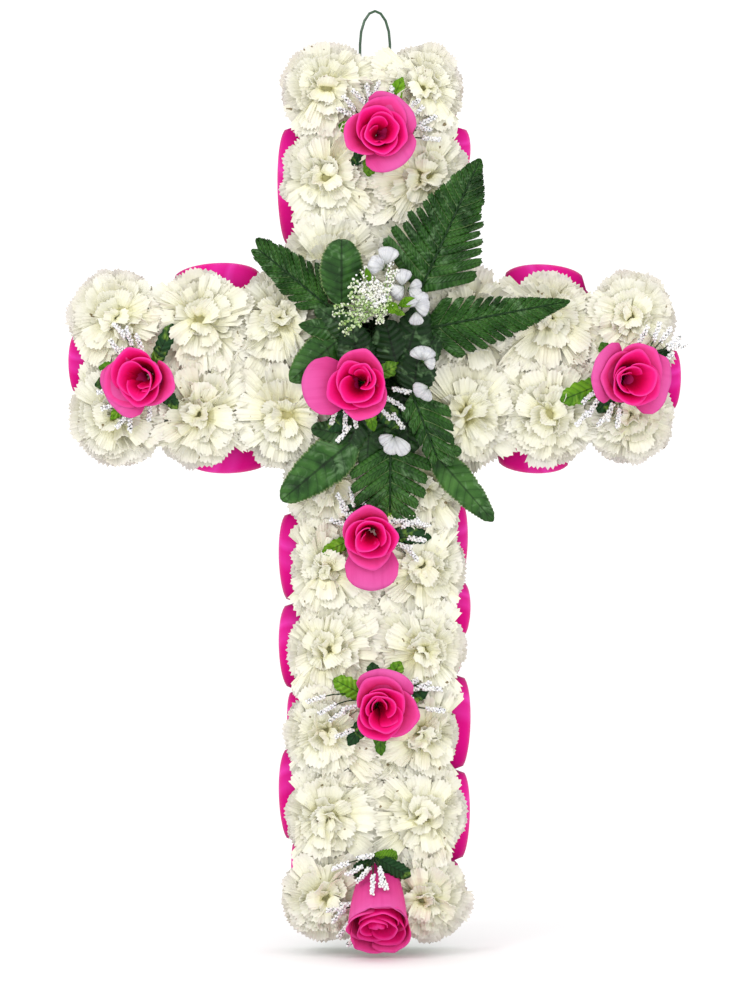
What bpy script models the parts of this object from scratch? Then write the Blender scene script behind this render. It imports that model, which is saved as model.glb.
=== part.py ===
"""Artificial flower memorial cross, made to hang from a wire loop.

A flat foam cross carries a double row of fabric carnation heads, a satin ribbon puffed
round its edge, seven roses on picks of leaves and berry sprigs, and a spray of foliage
over the crossing. Metres, +Z up, the flowers face -Y and the flat back faces +Y. The
origin is where the wire loop bears on its nail or hook.
"""
import math

import bmesh
import bpy
import numpy as np

# Foam cross
CROSS_HEIGHT = 0.610
CROSS_WIDTH = 0.406
ARM_WIDTH = 0.100
BOARD_THICKNESS = 0.025
CROSSING_DROP = 0.215  # from the top edge down to the middle of the arms

# Wire loop
LOOP_HEIGHT = 0.043  # from the top edge of the foam up to where the loop bears
LOOP_WIDTH = 0.0216  # between the middles of its legs
LOOP_ARCH = 0.024  # height of its rounded end
LOOP_SETBACK = 0.010  # from the foam's back face to the middle of the wire
WIRE_DIAMETER = 0.002
LEG_IN_FOAM = 0.030
CLEARANCE = 0.0003  # between pieces that touch

# Carnation heads
HEAD_RADIUS = 0.036
HEAD_DEPTH = 0.039  # from the foam to the top of the dome
RIM_RISE = 0.017  # from the foam to the widest petals
CALYX_RADIUS = 0.013
CALYX_HEIGHT = 0.008
ROW_OFFSET = 0.0345  # from a limb's middle line to each of its two rows
END_INSET = 0.016  # from a limb's end to the last heads
UPPER_PITCH = 0.064
LOWER_PITCH = 0.059
ARM_PITCH = 0.063
UPPER_HEADS = 3  # in each row
LOWER_HEADS = 6
ARM_HEADS = 3
HEAD_GAP = 0.0008
HEAD_SPREAD = 0.043  # how far its petals spread into the corners between other heads
FACING_ANGLE = math.radians(32)  # how far round a petal still counts as facing another head
STEM_ROOM = 0.0030  # from a pick's middle line to the nearest petals
UNDERSIDE = 0.022  # radius of the petals' underside just over the calyx
UNDERSIDE_SHARE = 0.92  # most of the reach that the underside takes
CROWN_SHARE = 0.45  # share of the reach where the dome's flat middle ends
CROWN_DROP = 0.003  # how far it has fallen there
SHOULDER_SHARE = 0.80  # share of the reach where the dome turns down
SHOULDER_RISE = 0.029
HEAD_SIDES = 12
PLEAT = 0.10  # how far every other petal edge draws in, as a share of the radius
CRINKLE = 0.0022  # how far the crinkles rise and fall

# Satin ribbon
RIBBON_PUFF = 0.0185  # how far a puff stands out from the edge of the foam
RIBBON_PINCH = 0.0045  # the same where a pin holds it
RIBBON_BACK = 0.002  # from the foam's back face to the ribbon's back edge
RIBBON_OVER = 0.001  # how far its front edge rises past the foam's front face
RIBBON_TURN = 0.023  # radius of its turn in an inner corner
RIBBON_STEPS = 3  # stretches of each puff
RIBBON_BULGE = 0.6  # share of a puff that its rounding takes

# Roses and their picks
ROSE_RADIUS = 0.0265
ROSE_DEPTH = 0.030
ROSE_SIDES = 12
ROSE_CLEARANCE = 0.0048  # over the carnations, so that a leaf fits between
OUTER_PETALS = 5
INNER_PETALS = 3
INNER_TURN = 1.0  # radians that the inner petals are turned by
PETAL_SPREAD = 0.55  # radians to each side over which a long petal fades out
TIER_STEP = 0.0012  # from one tier to the next where they rest on the flowers
PICK_RADIUS = 0.0015
SPRIG_RADIUS = 0.0007
SPRIG_BENDS = (0.40, 0.72)  # shares of the way to its first berry where a sprig bends over the flowers
BERRY_RADIUS = 0.0024
BERRY_SHARES = (0.62, 0.81, 1.00)  # shares of a sprig's length where its berries are
BERRY_STAGGER = 0.004  # how far they are to its sides in turn
LEAF_THICKNESS = 0.0014
LEAF_CLEARANCE = 0.0010
LEAF_ARCH = 0.003  # how far a leaf's middle rises
LEAF_WIDEST = 0.45  # share of its length where a plain leaf is widest
LEAF_FOLD = 0.18  # how far its sides hang, as a share of its half width
TOOTH_CUT = 0.38  # how far a notch between teeth draws in, as a share of the half width
PETIOLE = 0.0011  # half width of a leaf's root
WHORL_STEP = 0.0018  # from one root to the next down a stem

GOLDEN_ANGLE = math.radians(137.5)
BOARD_BACK = LOOP_SETBACK
BOARD_FRONT = BOARD_BACK - BOARD_THICKNESS
BOARD_TOP = -LOOP_HEIGHT
BOARD_BOTTOM = BOARD_TOP - CROSS_HEIGHT
CROSSING = BOARD_TOP - CROSSING_DROP
HALF_ARM = ARM_WIDTH / 2
HALF_SPAN = CROSS_WIDTH / 2


def material(name, colour, roughness):
    """A plain finish."""
    made = bpy.data.materials.new(name)
    made.use_nodes = True
    shader = made.node_tree.nodes["Principled BSDF"]
    shader.inputs["Base Color"].default_value = (*colour, 1.0)
    shader.inputs["Roughness"].default_value = roughness
    shader.inputs["Metallic"].default_value = 0.0
    return made


def new_object(name, mesh, collection, finish):
    """An object that shows a mesh or a curve in one finish."""
    made = bpy.data.objects.new(name, mesh)
    mesh.materials.clear()
    mesh.materials.append(finish)
    collection.objects.link(made)
    return made


def world(points):
    """Points given as across, up from the middle of the arms, and rise from the foam's front face."""
    points = np.asarray(points, dtype=float)
    return np.stack([points[..., 0], BOARD_FRONT - points[..., 2], CROSSING + points[..., 1]], axis=-1)


def loft(name, rings, collection, finish, tip=None):
    """A closed body through rings of equally many points, ending in a flat cap or in one tip point."""
    sides = len(rings[0])
    points = [tuple(p) for ring in rings for p in world(ring)]
    faces = [tuple(reversed(range(sides)))]
    for i in range(len(rings) - 1):
        low, high = i * sides, (i + 1) * sides
        for k in range(sides):
            n = (k + 1) % sides
            faces.append((low + k, low + n, high + n, high + k))
    last = (len(rings) - 1) * sides
    if tip is None:
        faces.append(tuple(last + k for k in range(sides)))
    else:
        points.append(tuple(world(tip)))
        top = len(points) - 1
        faces += [(last + k, last + (k + 1) % sides, top) for k in range(sides)]
    mesh = bpy.data.meshes.new(name)
    mesh.from_pydata(points, [], faces)
    shell = bmesh.new()
    shell.from_mesh(mesh)
    bmesh.ops.recalc_face_normals(shell, faces=shell.faces)
    bmesh.ops.triangulate(shell, faces=shell.faces)
    shell.to_mesh(mesh)
    shell.free()
    made = new_object(name, mesh, collection, finish)
    mesh.shade_smooth()
    return made


def wire(name, points, radius, sides, collection, finish):
    """A round wire through world points, made a mesh with its caps welded on."""
    curve = bpy.data.curves.new(name, "CURVE")
    curve.dimensions = "3D"
    curve.bevel_depth = radius
    curve.bevel_resolution = (sides - 4) // 2
    curve.use_fill_caps = True
    spline = curve.splines.new("POLY")
    spline.points.add(len(points) - 1)
    for point, place in zip(spline.points, points):
        point.co = (*place, 1.0)
    drawn = bpy.data.objects.new(name, curve)
    bpy.context.scene.collection.objects.link(drawn)
    bpy.context.view_layer.update()
    evaluated = drawn.evaluated_get(bpy.context.evaluated_depsgraph_get())
    mesh = bpy.data.meshes.new_from_object(evaluated)
    place = drawn.matrix_world.copy()
    bpy.data.objects.remove(drawn)
    bpy.data.curves.remove(curve)
    shell = bmesh.new()
    shell.from_mesh(mesh)
    bmesh.ops.remove_doubles(shell, verts=shell.verts, dist=0.00001)
    bmesh.ops.recalc_face_normals(shell, faces=shell.faces)
    shell.to_mesh(mesh)
    shell.free()
    made = new_object(name, mesh, collection, finish)
    made.matrix_world = place
    return made


def merge(body, others, operation="UNION"):
    """Joins the others to a body, or cuts them from it, and keeps them as hidden guides."""
    for other in others:
        other.hide_render = True
        other.display_type = "WIRE"
        step = body.modifiers.new(other.name, "BOOLEAN")
        step.operation = operation
        step.solver = "EXACT"
        step.object = other


def foam_cross(parts, guides, finish):
    """The cross cut from foam sheet, with a hole in its top edge for each leg of the loop."""
    arm_top = CROSSING + HALF_ARM
    arm_bottom = CROSSING - HALF_ARM
    right = [
        (HALF_ARM, BOARD_BOTTOM),
        (HALF_ARM, arm_bottom),
        (HALF_SPAN, arm_bottom),
        (HALF_SPAN, arm_top),
        (HALF_ARM, arm_top),
        (HALF_ARM, BOARD_TOP),
    ]
    outline = right + [(-x, z) for x, z in reversed(right)]
    shell = bmesh.new()
    front = shell.faces.new([shell.verts.new((x, BOARD_FRONT, z)) for x, z in outline])
    grown = bmesh.ops.extrude_face_region(shell, geom=[front])["geom"]
    moved = [part for part in grown if isinstance(part, bmesh.types.BMVert)]
    bmesh.ops.translate(shell, verts=moved, vec=(0.0, BOARD_THICKNESS, 0.0))
    bmesh.ops.recalc_face_normals(shell, faces=shell.faces)
    mesh = bpy.data.meshes.new("foam_cross")
    shell.to_mesh(mesh)
    shell.free()
    board = new_object("foam_cross", mesh, parts, finish)
    holes = []
    for side in (-1, 1):
        x = side * LOOP_WIDTH / 2
        bottom = BOARD_TOP - LEG_IN_FOAM - CLEARANCE
        ends = [(x, 0.0, bottom), (x, 0.0, BOARD_TOP + WIRE_DIAMETER)]
        bore = WIRE_DIAMETER / 2 + 2 * CLEARANCE
        holes.append(wire(f"leg_hole_{side}", ends, bore, 8, guides, finish))
    merge(board, holes, "DIFFERENCE")
    return board


def hanging_loop(parts, finish):
    """Coated wire bent to a narrow arch, with both legs pushed down into the foam."""
    top = WIRE_DIAMETER / 2
    foot = BOARD_TOP - LEG_IN_FOAM
    half = LOOP_WIDTH / 2
    arch = [
        (-half * math.cos(a), 0.0, top - LOOP_ARCH + LOOP_ARCH * math.sin(a))
        for a in np.linspace(0.0, math.pi, 9)
    ]
    route = [(-half, 0.0, foot)] + arch + [(half, 0.0, foot)]
    return wire("hanging_loop", route, WIRE_DIAMETER / 2, 8, parts, finish)


def places_from(end, pitch, count):
    """Places from the end of a limb inwards, a pitch apart."""
    return [end - pitch * k for k in range(count)]


def head_layout():
    """Names and places, across and up, of the carnation heads: two rows down each limb."""
    layout = []
    upper = places_from(CROSSING_DROP - END_INSET, UPPER_PITCH, UPPER_HEADS)
    lower = places_from(CROSS_HEIGHT - CROSSING_DROP - END_INSET, LOWER_PITCH, LOWER_HEADS)
    outward = places_from(HALF_SPAN - END_INSET, ARM_PITCH, ARM_HEADS)
    for side, word in ((-1, "left"), (1, "right")):
        for n, up in enumerate(upper, 1):
            layout.append((f"carnation_upper_{word}_{n}", (side * ROW_OFFSET, up)))
        for n, across in enumerate(outward, 1):
            layout.append((f"carnation_arm_top_{word}_{n}", (side * across, ROW_OFFSET)))
            layout.append((f"carnation_arm_low_{word}_{n}", (side * across, -ROW_OFFSET)))
        for n, down in enumerate(lower, 1):
            layout.append((f"carnation_lower_{word}_{n}", (side * ROW_OFFSET, -down)))
    return layout


def reach(centre, others, stems, angles):
    """How far petals go at each angle from a head's middle.

    It is the head's radius where the head is free and its spread where it faces other heads,
    and no further than half way to a neighbour or up to a stem."""
    limit = np.full(np.shape(angles), HEAD_RADIUS)
    walls = []
    for other in others:
        apart, heading = polar(centre, other)
        if 0 < apart < 2 * (HEAD_SPREAD + HEAD_GAP) + HEAD_RADIUS / 2:
            facing = np.cos(angles - heading)
            limit = np.where(facing > math.cos(FACING_ANGLE), HEAD_SPREAD, limit)
            walls.append(((apart - HEAD_GAP) / 2, facing))
    for place in stems:
        apart, heading = polar(centre, place)
        facing = np.cos(angles - heading)
        walls.append((apart - STEM_ROOM, np.where(facing > math.cos(FACING_ANGLE), facing, 0.0)))
    for away, facing in walls:
        limit = np.where(facing > 0.01, np.minimum(limit, away / np.maximum(facing, 0.01)), limit)
    return limit


def polar(start, stop):
    """How far and in which direction one place is from another."""
    across, up = stop[0] - start[0], stop[1] - start[1]
    return math.hypot(across, up), math.atan2(up, across)


def dome_rise(share):
    """Rise of the dome over the foam at a share of its reach from the middle."""
    shares = [0.0, CROWN_SHARE, SHOULDER_SHARE, 1.0]
    return np.interp(share, shares, [HEAD_DEPTH, HEAD_DEPTH - CROWN_DROP, SHOULDER_RISE, RIM_RISE])


def carnation(name, centre, others, stems, number, parts, finish):
    """A ruffled dome on a narrow calyx, with its pleats staggered from ring to ring."""
    turn = number * GOLDEN_ANGLE
    angles = turn + 2 * np.pi * np.arange(HEAD_SIDES) / HEAD_SIDES
    limit = reach(centre, others, stems, angles)
    inward = (np.arange(HEAD_SIDES) % 2).astype(float)
    calyx = np.full(HEAD_SIDES, CALYX_RADIUS)
    flat = np.zeros(HEAD_SIDES)
    levels = [
        (calyx, flat + CLEARANCE),
        (np.minimum(limit * UNDERSIDE_SHARE, UNDERSIDE), flat + CALYX_HEIGHT),
        (limit * (1 - PLEAT * inward), RIM_RISE - CRINKLE * inward),
        (limit * (SHOULDER_SHARE - PLEAT * (1 - inward)), SHOULDER_RISE - CRINKLE * (1 - inward)),
        (limit * CROWN_SHARE, HEAD_DEPTH - CROWN_DROP - CRINKLE * inward),
    ]
    rings = []
    for radii, rises in levels:
        across = centre[0] + radii * np.cos(angles)
        up = centre[1] + radii * np.sin(angles)
        rings.append(np.stack([across, up, rises], axis=-1))
    tip = (centre[0], centre[1], HEAD_DEPTH - CRINKLE)
    return loft(name, rings, parts, finish, tip)


def bed_rise(across, up, heads):
    """Rise of the carnations under a point, and nothing over bare foam."""
    across, up = np.asarray(across, dtype=float), np.asarray(up, dtype=float)
    rise = np.zeros(np.broadcast(across, up).shape)
    for centre in heads:
        away = np.hypot(across - centre[0], up - centre[1])
        share = away / HEAD_SPREAD
        rise = np.where(away < HEAD_SPREAD, np.maximum(rise, dome_rise(share)), rise)
    return rise


def ribbon_path(side):
    """The foam's edge from the top of the shaft round one arm to the foot, with rounded turns.

    Each station is a place across and up and its outward direction."""
    shaft_top = CROSSING_DROP - END_INSET
    shaft_foot = -(CROSS_HEIGHT - CROSSING_DROP - END_INSET)
    edge, end = HALF_ARM + CLEARANCE, HALF_SPAN + CLEARANCE
    turn = RIBBON_TURN
    slant = math.sqrt(0.5)
    step = LOWER_PITCH / RIBBON_STEPS
    stations = []

    def straight(start, stop, outward):
        start, stop = np.array(start), np.array(stop)
        count = max(2, int(round(np.linalg.norm(stop - start) / step)))
        for k in range(count):
            stations.append((start + (stop - start) * (k + 0.5) / count, np.array(outward)))

    def inner_turn(middle, first, last):
        for angle in np.radians(np.linspace(first, last, 3)):
            way = np.array([math.cos(angle), math.sin(angle)])
            stations.append((np.array(middle) + turn * way, -way))

    straight((edge, shaft_top), (edge, edge + turn), (1.0, 0.0))
    inner_turn((edge + turn, edge + turn), 180, 270)
    straight((edge + turn, edge), (end, edge), (0.0, 1.0))
    stations.append((np.array([end, edge]), np.array([slant, slant])))
    straight((end, edge), (end, -edge), (1.0, 0.0))
    stations.append((np.array([end, -edge]), np.array([slant, -slant])))
    straight((end, -edge), (edge + turn, -edge), (0.0, -1.0))
    inner_turn((edge + turn, -edge - turn), 90, 180)
    straight((edge, -edge - turn), (edge, shaft_foot), (1.0, 0.0))
    mirror = np.array([side, 1.0])
    return [(place * mirror, way * mirror) for place, way in stations]


def satin_ribbon(name, side, heads, parts, finish):
    """A ribbon round one side's edge, pinned behind each head and puffed between them."""
    back = RIBBON_BACK - BOARD_THICKNESS
    front = RIBBON_OVER
    middle, half = (front + back) / 2, (front - back) / 2
    around = np.radians([-60, 0, 60])
    rings = []
    for place, way in ribbon_path(side):
        nearest = min(math.hypot(*(place - np.array(head))) for head in heads)
        pinned = HALF_ARM - ROW_OFFSET
        open_share = min(1.0, max(0.0, (nearest - pinned) / (HEAD_RADIUS - pinned)))
        out = RIBBON_PINCH + (RIBBON_PUFF - RIBBON_PINCH) * math.sqrt(open_share)
        ring = [(*place, back), (*place, front)]
        for angle in around[::-1]:
            bulge = out * (1 - RIBBON_BULGE + RIBBON_BULGE * math.cos(angle))
            ring.append((*(place + way * bulge), middle + half * math.sin(angle)))
        rings.append(np.array(ring))
    return loft(name, rings, parts, finish)


def rose(name, spec, heads, parts, finish):
    """A rose in three tiers of cupped petals, wound round and nested on the flowers under it."""
    axis, first, second = spec["frame"]
    angles = 2 * np.pi * np.arange(ROSE_SIDES) / ROSE_SIDES
    lobe = 0.5 + 0.5 * np.cos(OUTER_PETALS * angles)
    inner_lobe = 0.5 + 0.5 * np.cos(INNER_PETALS * angles + INNER_TURN)
    wide = np.ones(ROSE_SIDES)
    for heading, extra in spec["long_petals"]:
        apart = np.angle(np.exp(1j * (angles - math.radians(heading))))
        wide += extra * np.exp(-((apart / PETAL_SPREAD) ** 2))
    steps = np.ones(ROSE_SIDES)
    levels = [
        (0.13 * steps, 0.0 * steps),
        (0.55 * steps, 0.20 * steps),
        (wide * (0.90 + 0.10 * lobe), 0.52 + 0.10 * lobe),
        (0.74 * steps, 0.56 * steps),
        (0.62 + 0.05 * inner_lobe, 0.80 + 0.10 * inner_lobe),
        (0.44 * steps, 0.70 * steps),
        (0.30 + 0.03 * inner_lobe, 0.96 + 0.04 * angles / (2 * np.pi)),
    ]
    base = spec["face"] - axis * ROSE_DEPTH
    rings = []
    for number, (radii, heights) in enumerate(levels):
        out = ROSE_RADIUS * radii[:, None]
        ring = base + axis * ROSE_DEPTH * heights[:, None]
        ring = ring + out * (first * np.cos(angles)[:, None] + second * np.sin(angles)[:, None])
        floor = bed_rise(ring[:, 0], ring[:, 1], heads) + ROSE_CLEARANCE
        ring[:, 2] = np.maximum(ring[:, 2], floor + TIER_STEP * max(0, number - 2))
        rings.append(ring)
    tip = base + axis * ROSE_DEPTH * 0.86
    return loft(name, rings, parts, finish, tip)


def leaf(name, root, point, half_width, heads, collection, finish, teeth=0, widest=LEAF_WIDEST):
    """A pointed leaf with a lens section, from its root to its point, laid clear of the flowers.

    Its half width swells to the widest share of its length, and every other station draws in
    where it has teeth."""
    root, point = np.array(root, dtype=float), np.array(point, dtype=float)
    count = max(5, 2 * round(teeth) + 2)
    along = np.linspace(0.0, 1.0, count)[:-1]
    swell = np.interp(along, [0.0, widest * 0.5, widest, 0.8, 1.0], [0.0, 0.75, 1.0, 0.55, 0.0])
    if teeth:
        swell = swell * (1 - TOOTH_CUT * (np.arange(count - 1) % 2))
    width = np.maximum(half_width * swell, PETIOLE)
    spine = root + (point - root) * along[:, None]
    spine[:, 2] += LEAF_ARCH * np.sin(np.pi * along)
    heading = point - root
    sideways = np.array([-heading[1], heading[0], 0.0]) / math.hypot(heading[0], heading[1])
    drop = np.array([0.0, 0.0, 1.0])
    thick = LEAF_THICKNESS / 2
    rings = []
    for place, half in zip(spine, width):
        fold = LEAF_FOLD * half
        ring = np.array([
            place + sideways * half - drop * fold,
            place + drop * thick,
            place - sideways * half - drop * fold,
            place - drop * thick,
        ])
        floor = bed_rise(ring[:, 0], ring[:, 1], heads) + LEAF_CLEARANCE
        lift = np.maximum(0.0, floor - ring[:, 2] + thick)
        lift[1] = lift[3] = max(lift[1], lift[3])
        ring[:, 2] += lift
        rings.append(ring)
    tip = point.copy()
    tip[2] = max(tip[2], float(bed_rise(tip[0], tip[1], heads)) + LEAF_CLEARANCE + thick)
    return loft(name, rings, collection, finish, tip)


def rings_along(route, radii, sides):
    """Rings of a round bar with changing radius, square to its route of points."""
    route = np.asarray(route, dtype=float)
    heading = np.gradient(route, axis=0)
    heading /= np.linalg.norm(heading, axis=1, keepdims=True)
    away = np.array([0.0, 0.0, 1.0]) if abs(heading[0][2]) < 0.8 else np.array([1.0, 0.0, 0.0])
    angles = 2 * np.pi * np.arange(sides) / sides
    rings = []
    for place, way, radius in zip(route, heading, radii):
        first = np.cross(way, away)
        first /= np.linalg.norm(first)
        second = np.cross(way, first)
        rings.append(place + radius * (np.cos(angles)[:, None] * first + np.sin(angles)[:, None] * second))
    return rings


def sprig(name, root, ends, berry_radius, heads, collection, finish):
    """A thin branch that swells into a berry at each of its points in turn."""
    root = np.array(root, dtype=float)
    route, radii = [root], [SPRIG_RADIUS]
    for share in SPRIG_BENDS:
        here = root + (np.array(ends[0]) - root) * share
        here[2] = max(here[2], float(bed_rise(here[0], here[1], heads)) + SPRIG_RADIUS + LEAF_CLEARANCE)
        route.append(here)
        radii.append(SPRIG_RADIUS)
    for end in ends:
        end = np.array(end, dtype=float)
        floor = float(bed_rise(end[0], end[1], heads)) + berry_radius + LEAF_CLEARANCE
        end[2] = max(end[2], floor)
        back = (here - end) / np.linalg.norm(here - end)
        neck = end + back * berry_radius
        floor = float(bed_rise(neck[0], neck[1], heads)) + SPRIG_RADIUS + LEAF_CLEARANCE
        neck[2] = max(neck[2], floor)
        route += [neck, end]
        radii += [SPRIG_RADIUS, berry_radius]
        here = end
    tip = here - back * berry_radius * 0.8
    return loft(name, rings_along(route, radii, 4), collection, finish, tip)


def stem(name, foot, top, radius, collection, finish):
    """A straight stem from the foam to the point that it carries, with its foot just off the foam."""
    foot, top = np.array([*foot, 0.0]), np.array(top, dtype=float)
    lean = math.hypot(top[0] - foot[0], top[1] - foot[1]) / np.linalg.norm(top - foot)
    foot[2] = CLEARANCE + radius * lean
    return loft(name, rings_along([foot, top], [radius, radius], 6), collection, finish)


def lean_frame(tilt_across, tilt_up):
    """A rose's axis and the two directions across it, from its tilt in degrees."""
    axis = np.array([math.tan(math.radians(tilt_across)), math.tan(math.radians(tilt_up)), 1.0])
    axis /= np.linalg.norm(axis)
    first = np.array([1.0, 0.0, 0.0]) - axis * axis[0]
    first /= np.linalg.norm(first)
    return axis, first, np.cross(axis, first)


def hollows():
    """Places on a limb's middle line between two heads of a row, where the picks go in."""
    top = CROSSING_DROP - END_INSET
    foot = -(CROSS_HEIGHT - CROSSING_DROP - END_INSET)
    end = HALF_SPAN - END_INSET
    return {
        "rose_crown": (0.0, top - UPPER_PITCH / 2),
        "rose_left": (-(end - ARM_PITCH / 2), 0.0),
        "rose_right": (end - ARM_PITCH / 2, 0.0),
        "rose_centre": (-0.012, -0.008),
        "rose_below_crossing": (0.0, foot + 4.5 * LOWER_PITCH),
        "rose_middle": (0.0, foot + 2.5 * LOWER_PITCH),
        "rose_foot": (0.0, foot + 0.5 * LOWER_PITCH),
    }


# Each rose: where its face is from its hollow, how it tilts, and its longer petals (heading, extra)
ROSES = {
    "rose_crown": {"shift": (0.002, 0.003), "rise": 0.064, "tilt": (3, 4), "long_petals": []},
    "rose_left": {"shift": (-0.012, -0.009), "rise": 0.066, "tilt": (-18, -8), "long_petals": []},
    "rose_right": {"shift": (0.027, -0.007), "rise": 0.068, "tilt": (26, -6), "long_petals": [(200, 0.15)]},
    "rose_centre": {"shift": (-0.006, -0.004), "rise": 0.078, "tilt": (-8, -4), "long_petals": [(185, 0.45)]},
    "rose_below_crossing": {"shift": (-0.003, -0.012), "rise": 0.064, "tilt": (0, -12), "long_petals": [(270, 0.32)]},
    "rose_middle": {"shift": (0.005, -0.014), "rise": 0.066, "tilt": (6, -12), "long_petals": []},
    "rose_foot": {"shift": (0.002, -0.037), "rise": 0.063, "tilt": (0, -38), "long_petals": [(90, 0.30)]},
}

# Leaves of each pick: heading in degrees, length from the stem, half width
PICK_LEAVES = {
    "rose_crown": ((68, 0.050, 0.0062), (170, 0.040, 0.0050), (250, 0.040, 0.0048)),
    "rose_left": ((60, 0.048, 0.0070), (165, 0.052, 0.0058), (300, 0.034, 0.0050)),
    "rose_right": ((195, 0.046, 0.0080), (120, 0.044, 0.0072)),
    "rose_centre": ((295, 0.036, 0.0050), (60, 0.036, 0.0050)),
    "rose_below_crossing": ((62, 0.048, 0.0070), (176, 0.046, 0.0060), (12, 0.052, 0.0062)),
    "rose_middle": ((150, 0.044, 0.0085), (75, 0.042, 0.0066), (30, 0.046, 0.0060)),
    "rose_foot": ((95, 0.036, 0.0085), (40, 0.036, 0.0055)),
}

# Berry sprigs of each pick: heading in degrees and length from the stem
PICK_SPRIGS = {
    "rose_crown": ((110, 0.046), (14, 0.044)),
    "rose_left": ((108, 0.046), (215, 0.046), (262, 0.040)),
    "rose_right": ((62, 0.052), (240, 0.040)),
    "rose_centre": ((250, 0.042), (205, 0.050)),
    "rose_below_crossing": ((118, 0.044), (36, 0.044)),
    "rose_middle": ((196, 0.050), (52, 0.044)),
    "rose_foot": ((128, 0.040), (205, 0.044)),
}


def at_rim_level(foot, top):
    """Where a stem is, across and up, as it passes the carnations' rims."""
    share = RIM_RISE / top[2]
    return foot[0] + (top[0] - foot[0]) * share, foot[1] + (top[1] - foot[1]) * share


def rose_specs(heads):
    """Each rose's hollow, the middle of its face, its frame, its stem's top and its longer petals."""
    specs = {}
    for name, foot in hollows().items():
        own = ROSES[name]
        face = np.array([foot[0] + own["shift"][0], foot[1] + own["shift"][1], own["rise"]])
        frame = lean_frame(*own["tilt"])
        top = face - frame[0] * ROSE_DEPTH
        top[2] = max(top[2], float(bed_rise(top[0], top[1], heads)) + ROSE_CLEARANCE)
        top[2] -= PICK_RADIUS + CLEARANCE
        specs[name] = {
            "foot": foot,
            "face": face,
            "frame": frame,
            "stem_top": top,
            "at_rim": at_rim_level(foot, top),
            "long_petals": own["long_petals"],
        }
    return specs


def rose_pick(name, spec, heads, parts, guides, finish):
    """The stem under a rose with its leaves and berry sprigs, in one piece.

    Their roots follow one another down the stem, a whorl step apart."""
    top = spec["stem_top"]
    body = stem(f"{name}_pick", spec["foot"], top, PICK_RADIUS, parts, finish)
    down = np.array([*spec["foot"], 0.0]) - top
    down /= np.linalg.norm(down)
    joined = []
    root = top + down * WHORL_STEP
    for n, (heading, length, half_width) in enumerate(PICK_LEAVES[name], 1):
        way = np.array([math.cos(math.radians(heading)), math.sin(math.radians(heading)), 0.0])
        point = root + way * length
        joined.append(leaf(f"{name}_leaf_{n}", root, point, half_width, heads, guides, finish))
        root = root + down * WHORL_STEP
    for n, (heading, length) in enumerate(PICK_SPRIGS[name], 1):
        way = np.array([math.cos(math.radians(heading)), math.sin(math.radians(heading)), 0.0])
        across = np.array([-way[1], way[0], 0.0])
        ends = [
            root + way * length * share + across * BERRY_STAGGER * (-1) ** k
            for k, share in enumerate(BERRY_SHARES)
        ]
        joined.append(sprig(f"{name}_sprig_{n}", root, ends, BERRY_RADIUS, heads, guides, finish))
        root = root + down * WHORL_STEP
    merge(body, joined)
    return body


# Foliage over the crossing: each stem's foot, the root of its blades, and each blade's point
# (across, up, rise), half width and teeth. The widest place is a share of a blade's length
FOLIAGE = {
    "fern_top": {
        "widest": 0.30,
        "foot": (0.014, 0.030),
        "root": (0.030, 0.053, 0.052),
        "blades": (
            ((0.0756, 0.1486, 0.056), 0.024, 4),
            ((0.0030, 0.0900, 0.054), 0.012, 2),
            ((0.0740, 0.0640, 0.052), 0.013, 2),
        ),
    },
    "fern_right": {
        "widest": 0.30,
        "foot": (0.018, 0.014),
        "root": (0.035, 0.026, 0.047),
        "blades": (
            ((0.1390, 0.0492, 0.048), 0.019, 4),
            ((0.0600, 0.0080, 0.046), 0.010, 2),
        ),
    },
    "fern_left": {
        "widest": 0.30,
        "foot": (-0.018, 0.026),
        "root": (-0.032, 0.042, 0.047),
        "blades": (
            ((-0.0814, 0.0866, 0.050), 0.015, 3),
            ((-0.0680, 0.0480, 0.046), 0.008, 2),
        ),
    },
    "fern_lower": {
        "widest": 0.30,
        "foot": (0.008, -0.038),
        "root": (0.011, -0.053, 0.048),
        "blades": (
            ((0.0115, -0.1080, 0.048), 0.010, 3),
            ((-0.0200, -0.0880, 0.046), 0.010, 2),
            ((0.0360, -0.0860, 0.044), 0.010, 2),
        ),
    },
    "leaf_round": {
        "widest": 0.45,
        "foot": (-0.006, 0.030),
        "root": (-0.0200, 0.046, 0.049),
        "blades": (((-0.0240, 0.0940, 0.056), 0.016, 3),),
    },
    "leaf_left": {
        "widest": 0.45,
        "foot": (-0.018, 0.002),
        "root": (-0.020, 0.016, 0.046),
        "blades": (
            ((-0.0600, -0.0080, 0.044), 0.011, 2),
            ((-0.0570, 0.0300, 0.044), 0.008, 0),
        ),
    },
    "leaf_lower_left": {
        "widest": 0.45,
        "foot": (-0.010, -0.034),
        "root": (-0.0120, -0.050, 0.045),
        "blades": (((-0.0660, -0.0950, 0.046), 0.016, 4),),
    },
    "leaf_lower_right": {
        "widest": 0.45,
        "foot": (0.020, -0.036),
        "root": (0.034, -0.056, 0.043),
        "blades": (
            ((0.0835, -0.1085, 0.044), 0.016, 3),
            ((0.0640, -0.0560, 0.042), 0.009, 0),
        ),
    },
    "leaf_lobed": {
        "widest": 0.45,
        "foot": (0.020, -0.016),
        "root": (0.026, -0.022, 0.056),
        "blades": (
            ((0.0420, -0.0660, 0.060), 0.012, 2),
            ((0.0580, -0.0420, 0.056), 0.010, 2),
            ((0.0260, -0.0540, 0.052), 0.008, 0),
        ),
    },
}

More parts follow.
